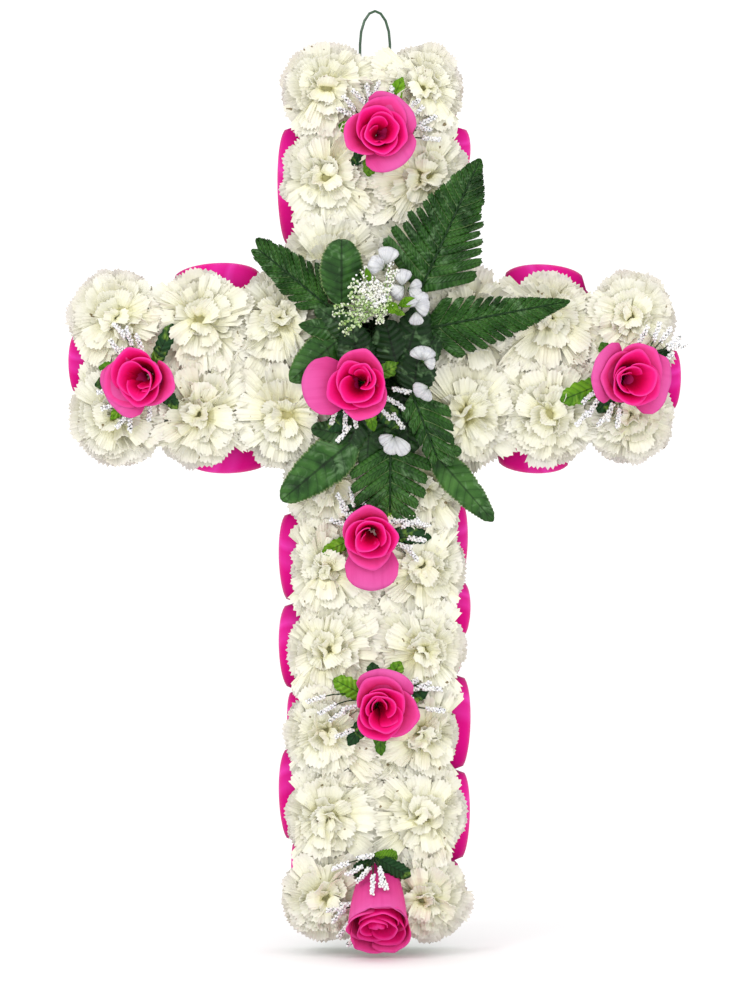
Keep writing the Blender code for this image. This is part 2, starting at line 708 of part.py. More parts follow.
# Small blossoms and cream berries of the centre sprig: their places (across, up, rise)
BLOSSOM_FOOT = (0.006, 0.018)
BLOSSOM_FORK = (0.006, 0.028, 0.060)
BLOSSOM_ENDS = (
    ((0.006, 0.050, 0.063), (0.006, 0.078, 0.064)),
    ((0.020, 0.044, 0.064), (0.030, 0.060, 0.066)),
    ((-0.006, 0.044, 0.063), (-0.010, 0.066, 0.064)),
    ((0.028, 0.016, 0.062), (0.038, -0.006, 0.064)),
)
BLOSSOM_RADIUS = 0.0050


def foliage(name, spec, heads, parts, guides, finish):
    """A stem with its blades, whose roots follow one another down its top."""
    root = np.array(spec["root"])
    body = stem(name, spec["foot"], root, PICK_RADIUS, parts, finish)
    down = np.array([*spec["foot"], 0.0]) - root
    down /= np.linalg.norm(down)
    joined = []
    for n, (point, half_width, teeth) in enumerate(spec["blades"], 1):
        start = root + down * WHORL_STEP * (n - 0.5)
        blade = f"{name}_blade_{n}"
        joined.append(leaf(blade, start, point, half_width, heads, guides, finish, teeth, spec["widest"]))
    merge(body, joined)
    return body


def blossom_sprig(heads, parts, guides, finish):
    """A forked sprig of small blossoms and berries over the middle of the foliage."""
    fork = np.array(BLOSSOM_FORK)
    body = stem("blossom_sprig", BLOSSOM_FOOT, fork, PICK_RADIUS, parts, finish)
    joined = []
    for n, ends in enumerate(BLOSSOM_ENDS, 1):
        root = fork - np.array([0.0, 0.0, WHORL_STEP * n])
        joined.append(sprig(f"blossom_branch_{n}", root, ends, BLOSSOM_RADIUS, heads, guides, finish))
    merge(body, joined)
    return body


def main():
    """Builds the whole cross."""
    for old in list(bpy.data.objects):
        bpy.data.objects.remove(old)
    parts = bpy.data.collections.new("flower_memorial_cross")
    guides = bpy.data.collections.new("guides")
    for collection in (parts, guides):
        bpy.context.scene.collection.children.link(collection)
    foam = material("foam", (0.055, 0.115, 0.05), 0.95)
    coated = material("coated_wire", (0.02, 0.07, 0.03), 0.45)
    petals = material("carnation_fabric", (0.87, 0.87, 0.80), 0.9)
    satin = material("ribbon_satin", (0.62, 0.015, 0.22), 0.35)
    pink = material("rose_petals", (0.86, 0.11, 0.25), 0.75)
    fresh = material("fresh_green_leaf", (0.16, 0.38, 0.06), 0.5)
    dark = material("dark_green_leaf", (0.015, 0.12, 0.05), 0.45)
    cream = material("blossom_white", (0.85, 0.86, 0.70), 0.8)
    foam_cross(parts, guides, foam)
    hanging_loop(parts, coated)
    layout = head_layout()
    heads = [place for _, place in layout]
    specs = rose_specs(heads)
    stems = [spec["at_rim"] for spec in specs.values()]
    stems += [at_rim_level(spec["foot"], spec["root"]) for spec in FOLIAGE.values()]
    for number, (name, place) in enumerate(layout):
        carnation(name, place, heads, stems, number, parts, petals)
    satin_ribbon("satin_ribbon_left", -1, heads, parts, satin)
    satin_ribbon("satin_ribbon_right", 1, heads, parts, satin)
    for name, spec in specs.items():
        rose(name, spec, heads, parts, pink)
        rose_pick(name, spec, heads, parts, guides, fresh)
    for name, spec in FOLIAGE.items():
        foliage(name, spec, heads, parts, guides, dark)
    blossom_sprig(heads, parts, guides, cream)


main()
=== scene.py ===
"""Looks of a flower memorial cross: fabric carnations and roses on a foam cross, edged with satin
ribbon, with leaves and small blossoms over the crossing.

Shapes are worked out as whole arrays. Most are given as (across, up, rise): across to the right,
up from the middle of the arms, and rise out from the front face of the foam.
"""
import math

import bpy
import numpy as np
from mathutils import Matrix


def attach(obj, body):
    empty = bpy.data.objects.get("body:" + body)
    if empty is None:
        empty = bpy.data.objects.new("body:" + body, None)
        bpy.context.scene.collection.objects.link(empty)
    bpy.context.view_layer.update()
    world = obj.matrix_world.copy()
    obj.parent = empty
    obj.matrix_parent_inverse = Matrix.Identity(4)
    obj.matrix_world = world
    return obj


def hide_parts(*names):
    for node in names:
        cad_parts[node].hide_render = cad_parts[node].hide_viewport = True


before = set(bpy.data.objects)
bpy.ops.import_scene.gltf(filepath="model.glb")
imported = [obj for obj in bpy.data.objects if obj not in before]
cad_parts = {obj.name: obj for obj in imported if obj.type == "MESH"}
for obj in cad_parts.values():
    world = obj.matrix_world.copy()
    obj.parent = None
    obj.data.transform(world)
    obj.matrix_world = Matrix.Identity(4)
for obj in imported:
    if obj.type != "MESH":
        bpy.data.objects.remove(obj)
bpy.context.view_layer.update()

# Where the foam's front face and the arms' middle are in the frame; half of a limb's width, and of the span
FOAM_FRONT, ARMS_MIDDLE = -0.015, -0.258
HALF_ARM, HALF_SPAN = 0.050, 0.203
# Flower heads stand in pairs, a row on each side of a limb's middle line, at these places along it
ROW = 0.0345
UPPER_ROWS = (0.199, 0.135, 0.071)
ARM_ROWS = (0.187, 0.124, 0.061)
LOWER_ROWS = (-0.379, -0.320, -0.261, -0.202, -0.143, -0.084)
# The dome of a head, as shares of its spread and the rises there
HEAD_DOME = ((0.0, 0.45, 0.80, 1.0), (0.039, 0.036, 0.029, 0.017))
HEAD_SPREAD = 0.043
LEAF_VEINS = 9.0  # side veins from a leaf's root to its point
WHITE = (1.0, 1.0, 1.0)
BLACK = (0.0, 0.0, 0.0)


# Meshes from arrays


def placed(points):
    """(x, y, z) = (across, foam front - rise, arms' middle + up)."""
    return np.stack([points[..., 0], FOAM_FRONT - points[..., 2], ARMS_MIDDLE + points[..., 1]], axis=-1)


def stacked(across, up, rise):
    """One array of points from three arrays that may differ in shape."""
    return np.stack(np.broadcast_arrays(across, up, rise), axis=-1).astype(float)


def unit(vectors):
    """Vectors divided by their length."""
    return vectors / np.maximum(np.linalg.norm(vectors, axis=-1, keepdims=True), 1e-12)


def rings(count, sides):
    """Faces between the rings of a round bar, and its two flat ends. Corner j of ring i has number
    i sides + j."""
    i, j = np.meshgrid(np.arange(count - 1), np.arange(sides), indexing="ij")
    k = (j + 1) % sides
    walls = np.stack([i * sides + j, i * sides + k, (i + 1) * sides + k, (i + 1) * sides + j], axis=-1)
    ends = np.stack([np.arange(sides)[::-1], (count - 1) * sides + np.arange(sides)])
    return [walls.reshape(-1, 4), ends]


class Shape:
    """Grids and small solids gathered into one mesh, with a map and three values at each point:
    tip runs from the foot of a petal or leaf to its rim, tone is a shade of its own, and kind tells
    parts of one piece apart."""

    def __init__(self):
        self.points, self.faces, self.maps, self.values = [], [], [], []
        self.count = 0

    def add(self, points, faces, maps, tip, tone, kind):
        """Points as an (n, 3) array with their faces, map places and values."""
        n = len(points)
        self.points.append(points)
        self.faces += [f + self.count for f in faces]
        self.maps.append(maps)
        self.values.append(np.stack([np.broadcast_to(v, (n,)) for v in (tip, tone, kind)], axis=-1))
        self.count += n

    def grids(self, points, tip=None, tone=0.5, kind=0.0, maps=None):
        """A stack of grids, (grids, rows, columns, 3). Point (g, i, j) has number
        (g rows + i) columns + j, and each face joins it to its next row and column. The map runs
        along columns, then rows."""
        g, r, c = points.shape[:3]
        first = (np.arange(r - 1)[:, None] * c + np.arange(c - 1)).reshape(-1)
        quad = np.stack([first, first + 1, first + c + 1, first + c], axis=1)
        faces = (quad + (np.arange(g) * r * c)[:, None, None]).reshape(-1, 4)
        u, v = np.meshgrid(np.linspace(0, 1, c), np.linspace(0, 1, r))
        if maps is None:
            maps = np.stack([u, v], axis=-1)
        maps = np.broadcast_to(maps, (g, r, c, 2)).reshape(-1, 2)
        full = [np.broadcast_to(v if x is None else x, (g, r, c)).reshape(-1) for x in (tip, tone, kind)]
        self.add(points.reshape(-1, 3), [faces], maps, *full)

    def tube(self, route, radii, sides=6, tip=0.0, tone=0.5, kind=0.0):
        """Rings of a round bar: route + radius (cos a first + sin a second), square to the route,
        with flat ends."""
        route = np.asarray(route, dtype=float)
        n = len(route)
        radii = np.broadcast_to(radii, (n,))
        way = unit(np.gradient(route, axis=0))
        helper = np.where(np.abs(way[:, 2:]) < 0.8, [[0.0, 0.0, 1.0]], [[1.0, 0.0, 0.0]])
        first = unit(np.cross(way, helper))
        second = np.cross(way, first)
        turn = 2 * np.pi * np.arange(sides) / sides
        ring = np.cos(turn)[:, None, None] * first + np.sin(turn)[:, None, None] * second
        points = (route + radii[:, None] * ring).transpose(1, 0, 2).reshape(-1, 3)
        maps = np.stack([np.tile(turn / 6.3, n), np.repeat(np.linspace(0, 1, n), sides)], axis=-1)
        self.add(points, rings(n, sides), maps, tip, tone, kind)

    def beads(self, centres, radii, tip=1.0, tone=0.5, kind=0.0):
        """Small balls of twenty faces: centre + radius times the corners of an icosahedron."""
        corners, sides = ICOSAHEDRON
        n = len(centres)
        points = (centres[:, None] + np.asarray(radii)[:, None, None] * corners).reshape(-1, 3)
        faces = (sides + (np.arange(n) * len(corners))[:, None, None]).reshape(-1, 3)
        tones = np.repeat(np.broadcast_to(tone, (n,)), len(corners))
        self.add(points, [faces], np.zeros((len(points), 2)), tip, tones, kind)

    def finish(self, name, finish, slot, nodes=(), thick=0.0, flip=False, crisp=False):
        """The mesh as one object that rides on the cross, thickened to both sides, with smooth or
        crisp folds."""
        points = placed(np.concatenate(self.points))
        mesh = bpy.data.meshes.new(name)
        mesh.vertices.add(len(points))
        mesh.vertices.foreach_set("co", points.ravel())
        faces = [f[:, ::-1] if flip else f for f in self.faces]
        corners = np.concatenate([f.ravel() for f in faces])
        sizes = np.concatenate([np.full(len(f), f.shape[1]) for f in faces])
        mesh.loops.add(len(corners))
        mesh.loops.foreach_set("vertex_index", corners)
        mesh.polygons.add(len(sizes))
        mesh.polygons.foreach_set("loop_start", np.concatenate([[0], np.cumsum(sizes)[:-1]]))
        mesh.update(calc_edges=True)
        places = mesh.uv_layers.new(name="UVMap")
        places.data.foreach_set("uv", np.concatenate(self.maps)[corners].ravel())
        values = np.concatenate(self.values)
        for k, word in enumerate(("tip", "tone", "kind")):
            layer = mesh.attributes.new(word, "FLOAT", "POINT")
            layer.data.foreach_set("value", values[:, k].astype(np.float32))
        mesh.validate()
        if crisp:
            mesh.shade_flat()
        else:
            mesh.shade_smooth()
        made = bpy.data.objects.new(name, mesh)
        bpy.context.scene.collection.objects.link(made)
        mesh.materials.append(finish)
        if thick:
            wall = made.modifiers.new("wall", "SOLIDIFY")
            wall.thickness = thick
            wall.offset = 0.0
        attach(made, "root")
        if nodes:
            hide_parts(*nodes)
        return made


def icosahedron():
    """The twelve corners and twenty faces of an icosahedron of radius one."""
    g = (1 + math.sqrt(5)) / 2
    corners = [(-1, g, 0), (1, g, 0), (-1, -g, 0), (1, -g, 0), (0, -1, g), (0, 1, g)]
    corners += [(0, -1, -g), (0, 1, -g), (g, 0, -1), (g, 0, 1), (-g, 0, -1), (-g, 0, 1)]
    faces = [(0, 11, 5), (0, 5, 1), (0, 1, 7), (0, 7, 10), (0, 10, 11), (1, 5, 9), (5, 11, 4)]
    faces += [(11, 10, 2), (10, 7, 6), (7, 1, 8), (3, 9, 4), (3, 4, 2), (3, 2, 6), (3, 6, 8)]
    faces += [(3, 8, 9), (4, 9, 5), (2, 4, 11), (6, 2, 10), (8, 6, 7), (9, 8, 1)]
    return unit(np.array(corners, dtype=float)), np.array(faces)


ICOSAHEDRON = icosahedron()


# Materials


class Finish:
    """A procedural material built up from a few named nodes."""

    def __init__(self, name, roughness, specular=0.5, subsurface=0.0, coat=0.0):
        self.material = bpy.data.materials.new(name)
        self.material.use_nodes = True
        self.nodes = self.material.node_tree.nodes
        self.links = self.material.node_tree.links
        self.shader = self.nodes["Principled BSDF"]
        sockets = self.shader.inputs
        sockets["Roughness"].default_value = roughness
        sockets["Specular IOR Level"].default_value = specular
        sockets["Coat Weight"].default_value = coat
        if subsurface:
            sockets["Subsurface Weight"].default_value = subsurface
            sockets["Subsurface Radius"].default_value = (1.0, 0.8, 0.6)
            sockets["Subsurface Scale"].default_value = 0.004

    def value(self, word):
        """The value of a point attribute."""
        node = self.nodes.new("ShaderNodeAttribute")
        node.attribute_name = word
        return node.outputs["Fac"]

    def pattern(self, kind, scale, place, stretch):
        """A texture node on the object's own coordinates or its map, stretched where asked."""
        where = self.nodes.new("ShaderNodeTexCoord").outputs[place]
        if stretch:
            turn = self.nodes.new("ShaderNodeMapping")
            turn.inputs["Scale"].default_value = stretch
            self.links.new(where, turn.inputs["Vector"])
            where = turn.outputs["Vector"]
        node = self.nodes.new(kind)
        node.inputs["Scale"].default_value = scale
        self.links.new(where, node.inputs["Vector"])
        return node

    def noise(self, scale, detail=3.0, place="Object", stretch=None, distortion=0.0):
        """Cloudy noise."""
        node = self.pattern("ShaderNodeTexNoise", scale, place, stretch)
        node.inputs["Detail"].default_value = detail
        node.inputs["Distortion"].default_value = distortion
        return node.outputs["Fac"]

    def waves(self, scale, stretch, distortion=0.0, direction="X"):
        """Bands along one direction of the map."""
        node = self.pattern("ShaderNodeTexWave", scale, "UV", stretch)
        node.bands_direction = direction
        node.inputs["Distortion"].default_value = distortion
        return node.outputs["Fac"]

    def spots(self, scale):
        """Distance from the nearest of scattered points."""
        return self.pattern("ShaderNodeTexVoronoi", scale, "Object", None).outputs["Distance"]

    def ramp(self, value, *stops):
        """Colours at stops (place, (r, g, b)) along a value."""
        node = self.nodes.new("ShaderNodeValToRGB")
        band = node.color_ramp
        while len(band.elements) < len(stops):
            band.elements.new(0.5)
        for element, (where, colour) in zip(band.elements, stops):
            element.position = where
            element.color = (*colour, 1.0)
        self.links.new(value, node.inputs["Fac"])
        return node.outputs["Color"]

    def sums(self, operation, first, second):
        """One arithmetic step on two values, either of which may be a plain number."""
        node = self.nodes.new("ShaderNodeMath")
        node.operation = operation
        for socket, item in zip(node.inputs, (first, second)):
            if isinstance(item, (int, float)):
                socket.default_value = item
            else:
                self.links.new(item, socket)
        return node.outputs["Value"]

    def mix(self, share, first, second, way="MIX"):
        """Two colours mixed by a share; each may be a plain colour."""
        node = self.nodes.new("ShaderNodeMix")
        node.data_type = "RGBA"
        node.blend_type = way
        factor, upper, lower = (node.inputs[k] for k in (0, 6, 7))
        for socket, item in ((factor, share), (upper, first), (lower, second)):
            if isinstance(item, tuple):
                socket.default_value = (*item, 1.0)
            elif isinstance(item, (int, float)):
                socket.default_value = item
            else:
                self.links.new(item, socket)
        return node.outputs[2]

    def times(self, first, second):
        """Two colours multiplied."""
        return self.mix(1.0, first, second, "MULTIPLY")

    def colour(self, source):
        """Sets the shader's colour."""
        self.links.new(source, self.shader.inputs["Base Color"])

    def bump(self, height, distance, strength=1.0):
        """Relief from a height value, added to any relief before it."""
        node = self.nodes.new("ShaderNodeBump")
        node.inputs["Distance"].default_value = distance
        node.inputs["Strength"].default_value = strength
        self.links.new(height, node.inputs["Height"])
        before = self.shader.inputs["Normal"]
        if before.is_linked:
            self.links.new(before.links[0].from_socket, node.inputs["Normal"])
        self.links.new(node.outputs["Normal"], before)


def carnation_fabric():
    """Crisp white fabric, cream and yellow-green deep inside, with painted light that lifts the creases and
    painted shade that dims the rims, a faint grey mauve at the outer rims.
    """
    made = Finish("carnation_fabric", 0.9, specular=0.1)
    tip, tone, kind = made.value("tip"), made.value("tone"), made.value("kind")
    # Inner petals: their own cream and yellow-green low down, lifted there by painted light in the creases,
    # and darkened towards the rims by painted shade
    inner = made.ramp(
        tip,
        (0.0, (0.88, 0.84, 0.48)),
        (0.45, (0.92, 0.90, 0.62)),
        (0.75, (0.855, 0.845, 0.68)),
        (1.0, (0.80, 0.79, 0.70)),
    )
    # Outer petals: cream low down, with painted shade that turns their rims a darker grey mauve
    outer = made.ramp(
        tip,
        (0.0, (0.88, 0.84, 0.56)),
        (0.55, (0.89, 0.87, 0.72)),
        (0.86, (0.83, 0.81, 0.73)),
        (1.0, (0.74, 0.69, 0.67)),
    )
    cloud = made.ramp(made.noise(55.0), (0.35, (0.96, 0.95, 0.90)), (0.62, WHITE))
    flecks = made.ramp(made.noise(210.0, 1.0), (0.215, (0.30, 0.24, 0.16)), (0.25, WHITE))
    petal = made.times(made.times(made.mix(tone, inner, outer), cloud), flecks)
    made.colour(made.mix(kind, petal, (0.30, 0.36, 0.14)))
    made.bump(made.waves(0.75, stretch=(3.0, 0.12, 1.0), distortion=1.2), 0.0006, 0.25)
    made.bump(made.noise(900.0, 2.0), 0.0001, 0.3)
    return made.material


def rose_fabric():
    """Soft pink petals, deep red towards their feet, partly their own deeper pink and partly painted shade
    in the folds, paler at the lips, with faint veins.
    """
    made = Finish("rose_petals", 0.6, specular=0.12)
    tip, tone, kind = made.value("tip"), made.value("tone"), made.value("kind")
    # The petals' own deep pink, with painted shade that darkens it towards their feet in the folds
    deep = made.ramp(
        tip,
        (0.0, (0.26, 0.0, 0.025)),
        (0.30, (0.48, 0.0, 0.05)),
        (0.58, (0.80, 0.001, 0.12)),
        (0.92, (0.84, 0.008, 0.22)),
        (1.0, (0.86, 0.055, 0.35)),
    )
    # The paler pink of outer and long petals, with painted shade that darkens it towards their feet
    pale = made.ramp(
        tip,
        (0.0, (0.52, 0.01, 0.17)),
        (0.55, (0.66, 0.06, 0.28)),
        (1.0, (0.71, 0.11, 0.38)),
    )
    veins = made.noise(1.6, 3.0, place="UV", stretch=(7.0, 0.6, 1.0))
    faint = made.ramp(veins, (0.34, (0.95, 0.84, 0.91)), (0.54, WHITE))
    cloud = made.ramp(made.noise(45.0), (0.3, (0.93, 0.84, 0.88)), (0.7, WHITE))
    petal = made.times(made.times(made.mix(tone, deep, pale), faint), cloud)
    made.colour(made.mix(kind, petal, (0.06, 0.17, 0.012)))
    made.bump(veins, 0.0008, 0.2)
    made.bump(made.noise(700.0, 2.0), 0.0001, 0.4)
    return made.material


def ribbon_satin():
    """Satin: fine cross threads, a soft gloss, with a painted highlight band where each puff turns to the
    light, and painted shade at the pins where it tucks under the flowers.
    """
    made = Finish("ribbon_satin", 0.42, specular=0.05)
    kind = made.value("kind")
    cloud = made.noise(14.0, 2.0, stretch=(1.0, 1.0, 0.6))
    ground = made.ramp(cloud, (0.3, (0.56, 0.0, 0.15)), (0.7, (0.72, 0.0, 0.25)))
    # Painted highlight: a lighter band across each puff, set by where along the puff a point lies
    band = made.ramp(
        made.sums("ADD", kind, made.sums("MULTIPLY", cloud, 0.16)),
        (0.05, BLACK),
        (0.30, (0.25, 0.25, 0.25)),
        (0.38, (0.80, 0.80, 0.80)),
        (0.44, (0.25, 0.25, 0.25)),
        (0.56, (0.45, 0.45, 0.45)),
        (0.66, (0.05, 0.05, 0.05)),
        (1.0, BLACK),
    )
    # Painted shade: darker where each puff narrows to its pins and tucks under the flowers
    ends = made.ramp(made.value("tip"), (0.45, (0.45, 0.35, 0.45)), (0.95, WHITE))
    made.colour(made.times(made.mix(band, ground, (0.78, 0.045, 0.42)), ends))
    made.bump(made.waves(260.0, stretch=(0.1, 1.0, 1.0), direction="Y"), 0.00004, 0.3)
    made.bump(made.noise(35.0, 2.0), 0.0006, 0.25)
    return made.material


def leaf_cloth(name, roughness, greens, other, edge, painted_highlight):
    """Coated leaf cloth in three greens or another one by its tone, with patches of painted highlight,
    embossed with side veins that run out and forward from a dark midrib, and a pale edge."""
    made = Finish(name, roughness, specular=0.20)
    tone, kind = made.value("tone"), made.value("kind")
    ground = made.ramp(made.noise(60.0, 4.0, distortion=0.4), *zip((0.32, 0.50, 0.72), greens))
    ground = made.mix(tone, ground, other)
    # Painted highlight: pale green patches of glint laid over the greens by noise
    painted_highlight_mask = made.ramp(made.noise(85.0, 3.0, distortion=1.4), (0.56, BLACK), (0.72, (0.70, 0.70, 0.70)))
    ground = made.mix(painted_highlight_mask, ground, painted_highlight)
    parts = made.nodes.new("ShaderNodeSeparateXYZ")
    made.links.new(made.nodes.new("ShaderNodeTexCoord").outputs["UV"], parts.inputs["Vector"])
    centred = made.sums("SUBTRACT", made.sums("MULTIPLY", parts.outputs["X"], 2.0), 1.0)
    across = made.sums("ABSOLUTE", centred, 0.0)
    along = made.sums("MULTIPLY", parts.outputs["Y"], LEAF_VEINS)
    veins = made.sums("PINGPONG", made.sums("SUBTRACT", along, across), 0.5)
    shade = made.ramp(veins, (0.0, (0.50, 0.55, 0.50)), (0.10, (0.80, 0.84, 0.80)), (0.42, WHITE))
    rib = made.ramp(across, (0.0, (0.35, 0.40, 0.35)), (0.035, (0.45, 0.5, 0.45)), (0.08, WHITE))
    ground = made.times(made.times(ground, shade), rib)
    rim = made.ramp(across, (0.90, BLACK), (0.99, (0.75, 0.75, 0.75)))
    rim = made.sums("MULTIPLY", rim, made.sums("SUBTRACT", 1.0, tone))
    made.colour(made.mix(kind, made.mix(rim, ground, edge), (0.012, 0.045, 0.010)))
    made.bump(veins, 0.0022, 0.8)
    made.bump(made.noise(190.0, 3.0), 0.0016, 0.6)
    return made.material


def blossom_finish():
    """White plastic beads and blossoms with dark flecks, green at their stalks."""
    made = Finish("blossom_white", 0.6, subsurface=0.15, specular=0.3)
    tone, kind = made.value("tone"), made.value("kind")
    flecks = made.ramp(made.noise(640.0, 1.0), (0.33, (0.02, 0.02, 0.02)), (0.37, WHITE))
    base = made.ramp(
        tone,
        (0.0, (0.84, 0.84, 0.87)),
        (0.35, (0.90, 0.89, 0.78)),
        (0.70, (0.34, 0.50, 0.16)),
        (0.90, (0.06, 0.16, 0.015)),
        (1.0, (0.012, 0.03, 0.008)),
    )
    made.colour(made.mix(kind, made.times(base, flecks), base))
    made.bump(made.noise(500.0, 2.0), 0.0003, 0.6)
    return made.material


def petal_finish():
    """Thin bluish white petals, greyer at their feet with painted shade, with soft lengthwise folds."""
    made = Finish("blossom_petal", 0.6, subsurface=0.1, specular=0.2)
    # Painted shade: greyer towards each petal's foot
    shade = made.ramp(
        made.value("tip"),
        (0.0, (0.40, 0.42, 0.38)),
        (0.5, (0.70, 0.70, 0.70)),
        (1.0, (0.80, 0.80, 0.82)),
    )
    cloud = made.ramp(made.noise(160.0), (0.35, (0.80, 0.80, 0.84)), (0.65, WHITE))
    made.colour(made.times(shade, cloud))
    made.bump(made.waves(0.45, stretch=(3.0, 0.2, 1.0), distortion=1.5), 0.0012, 0.5)
    return made.material


def foam_finish():
    """Dry green foam with open pores."""
    made = Finish("foam", 0.95, specular=0.2)
    cloud = made.noise(120.0, 4.0)
    made.colour(made.ramp(cloud, (0.3, (0.035, 0.085, 0.03)), (0.7, (0.075, 0.15, 0.06))))
    made.bump(made.spots(900.0), 0.0006, 0.7)
    return made.material


def wire_finish():
    """Green plastic coat on wire."""
    made = Finish("coated_wire", 0.42, coat=0.2)
    made.colour(made.ramp(made.noise(200.0), (0.3, (0.012, 0.05, 0.02)), (0.7, (0.03, 0.10, 0.04))))
    made.bump(made.noise(900.0), 0.0001, 0.4)
    return made.material


CARNATION = carnation_fabric()
ROSE = rose_fabric()
SATIN = ribbon_satin()
# The last colour of each leaf cloth is that of its painted highlights
LIME = leaf_cloth(
    "fresh_green_leaf",
    0.5,
    greens=((0.075, 0.23, 0.004), (0.14, 0.34, 0.006), (0.21, 0.45, 0.015)),
    other=(0.010, 0.055, 0.012),
    edge=(0.20, 0.42, 0.03),
    painted_highlight=(0.30, 0.52, 0.06),
)
DARK = leaf_cloth(
    "dark_green_leaf",
    0.33,
    greens=((0.010, 0.042, 0.007), (0.027, 0.098, 0.014), (0.060, 0.165, 0.030)),
    other=(0.007, 0.031, 0.006),
    edge=(0.22, 0.30, 0.12),
    painted_highlight=(0.15, 0.27, 0.12),
)
BLOSSOM = blossom_finish()
PETAL = petal_finish()

for node, finish in (("foam_cross", foam_finish()), ("hanging_loop", wire_finish())):
    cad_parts[node].data.materials.clear()
    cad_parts[node].data.materials.append(finish)


# Carnations


def head_places():
    """Each carnation's node with its middle (across, up)."""
    heads = {}
    for side, word in ((-1, "left"), (1, "right")):
        for n, up in enumerate(UPPER_ROWS, 1):
            heads[f"carnation_upper_{word}_{n}"] = (side * ROW, up)
        for n, across in enumerate(ARM_ROWS, 1):
            heads[f"carnation_arm_top_{word}_{n}"] = (side * across, ROW)
            heads[f"carnation_arm_low_{word}_{n}"] = (side * across, -ROW)
        for n, up in enumerate(LOWER_ROWS, 1):
            heads[f"carnation_lower_{word}_{n}"] = (side * ROW, up)
    return heads


HEADS = head_places()
MIDDLES = np.array(list(HEADS.values()))


def bed(points, spare=0.0):
    """Rise of the flowers under points (across, up, ...): the highest dome over each, nothing over
    bare foam."""
    away = np.linalg.norm(points[..., None, :2] - MIDDLES, axis=-1)
    rises = np.interp(away / HEAD_SPREAD, *HEAD_DOME, right=0.0)
    return rises.max(axis=-1) + spare


def resting(points, spare):
    """Points lifted where they would sink into the flowers."""
    lifted = points.copy()
    lifted[..., 2] = np.maximum(lifted[..., 2], bed(points, spare))
    return lifted


# Petals from the outer ring to the heart, then those that fill below them: how many, lean from the
# axis in degrees, half width, how far they are sunk
PETAL_RINGS = (
    (13, 98, 0.0114, 0.0),
    (13, 82, 0.0112, 0.0),
    (11, 67, 0.0108, 0.0),
    (10, 54, 0.0104, 0.0),
    (9, 41, 0.0098, 0.0),
    (6, 28, 0.0092, 0.0),
    (4, 14, 0.0084, 0.0),
    (8, 60, 0.0118, 0.0050),
    (5, 28, 0.0104, 0.0050),
)
RING_TURN = 0.37  # of a whole turn, from each ring to the next
PETAL_ROWS, PETAL_COLUMNS = 5, 15
PETAL_FOOT = 0.14  # where a petal leaves the calyx, as a share of its length
TOOTH = 0.016  # depth of the teeth at a petal's rim, as a share of its length
# Rise of the rims of a head's lowest petals, where it stands free and between other heads, and of its top
FREE_RIM = 0.0150
CROWD_RIM = 0.0322
TOP_RISE = 0.0390
# Other heads nearer than this count as neighbours, and petals go this far past half way to them, or this
# far where they face the inside of a limb. Each limb has its own free length
NEIGHBOUR = 0.105
PAST_HALF_WAY = 0.0060
INNER_REACH = 0.0520
FREE_REACH = {"upper": 0.0345, "arm_left": 0.0330, "arm_right": 0.0305, "lower": 0.0325}
# Heads whose petals go further or less far than the others of their limb, across and up, and how far
# their petals stand off to one side
HEAD_TRIMS = {
    "upper_left_1": (-0.0005, 0.0, 0.0),
    "upper_right_1": (-0.0065, 0.0, 0.0),
    "arm_top_left_1": (0.0045, 0.0040, 0.0035),
    "arm_low_left_1": (0.0045, 0.0050, 0.0040),
    "arm_top_right_1": (0.0020, 0.0055, -0.0050),
    "arm_low_right_1": (0.0020, 0.0045, -0.0055),
    "arm_top_left_2": (0.0, 0.0035, 0.0),
    "arm_top_left_3": (0.0, 0.0060, -0.0060),
    "arm_low_left_2": (0.0, 0.0060, 0.0),
    "arm_low_left_3": (0.0, 0.0080, -0.0030),
    "arm_top_right_2": (0.0, 0.0040, 0.0),
    "arm_low_right_2": (0.0, 0.0070, 0.0),
    "arm_top_right_3": (0.0, 0.0090, 0.0040),
    "arm_low_right_3": (0.0, 0.0110, 0.0030),
    "lower_left_1": (0.0020, 0.0, 0.0),
    "lower_right_1": (0.0030, 0.0, 0.0),
    "lower_left_2": (-0.0025, 0.0, 0.0),
    "lower_left_3": (-0.0010, 0.0, 0.0),
    "lower_right_3": (-0.0075, 0.0, 0.0),
    "lower_left_4": (-0.0045, 0.0, 0.0),
    "lower_right_4": (-0.0020, 0.0, 0.0),
    "lower_left_5": (-0.0070, 0.0, 0.0),
}

# The calyx under the petals as (radius, rise) from the foam up: narrow at its green foot, then a cup of
# the radius CUP that a crowded head's shortest petals still hide
CALYX = ((0.0130, 0.0004), (0.0110, 0.0045), (0.0150, 0.0085), (0.0205, 0.0125), (0.0215, 0.0165))
CALYX += ((0.0170, 0.0205), (0.0085, 0.0230), (0.0015, 0.0237))
CALYX_SIDES = 12
FOOT, CUP = 0.0131, 0.0215


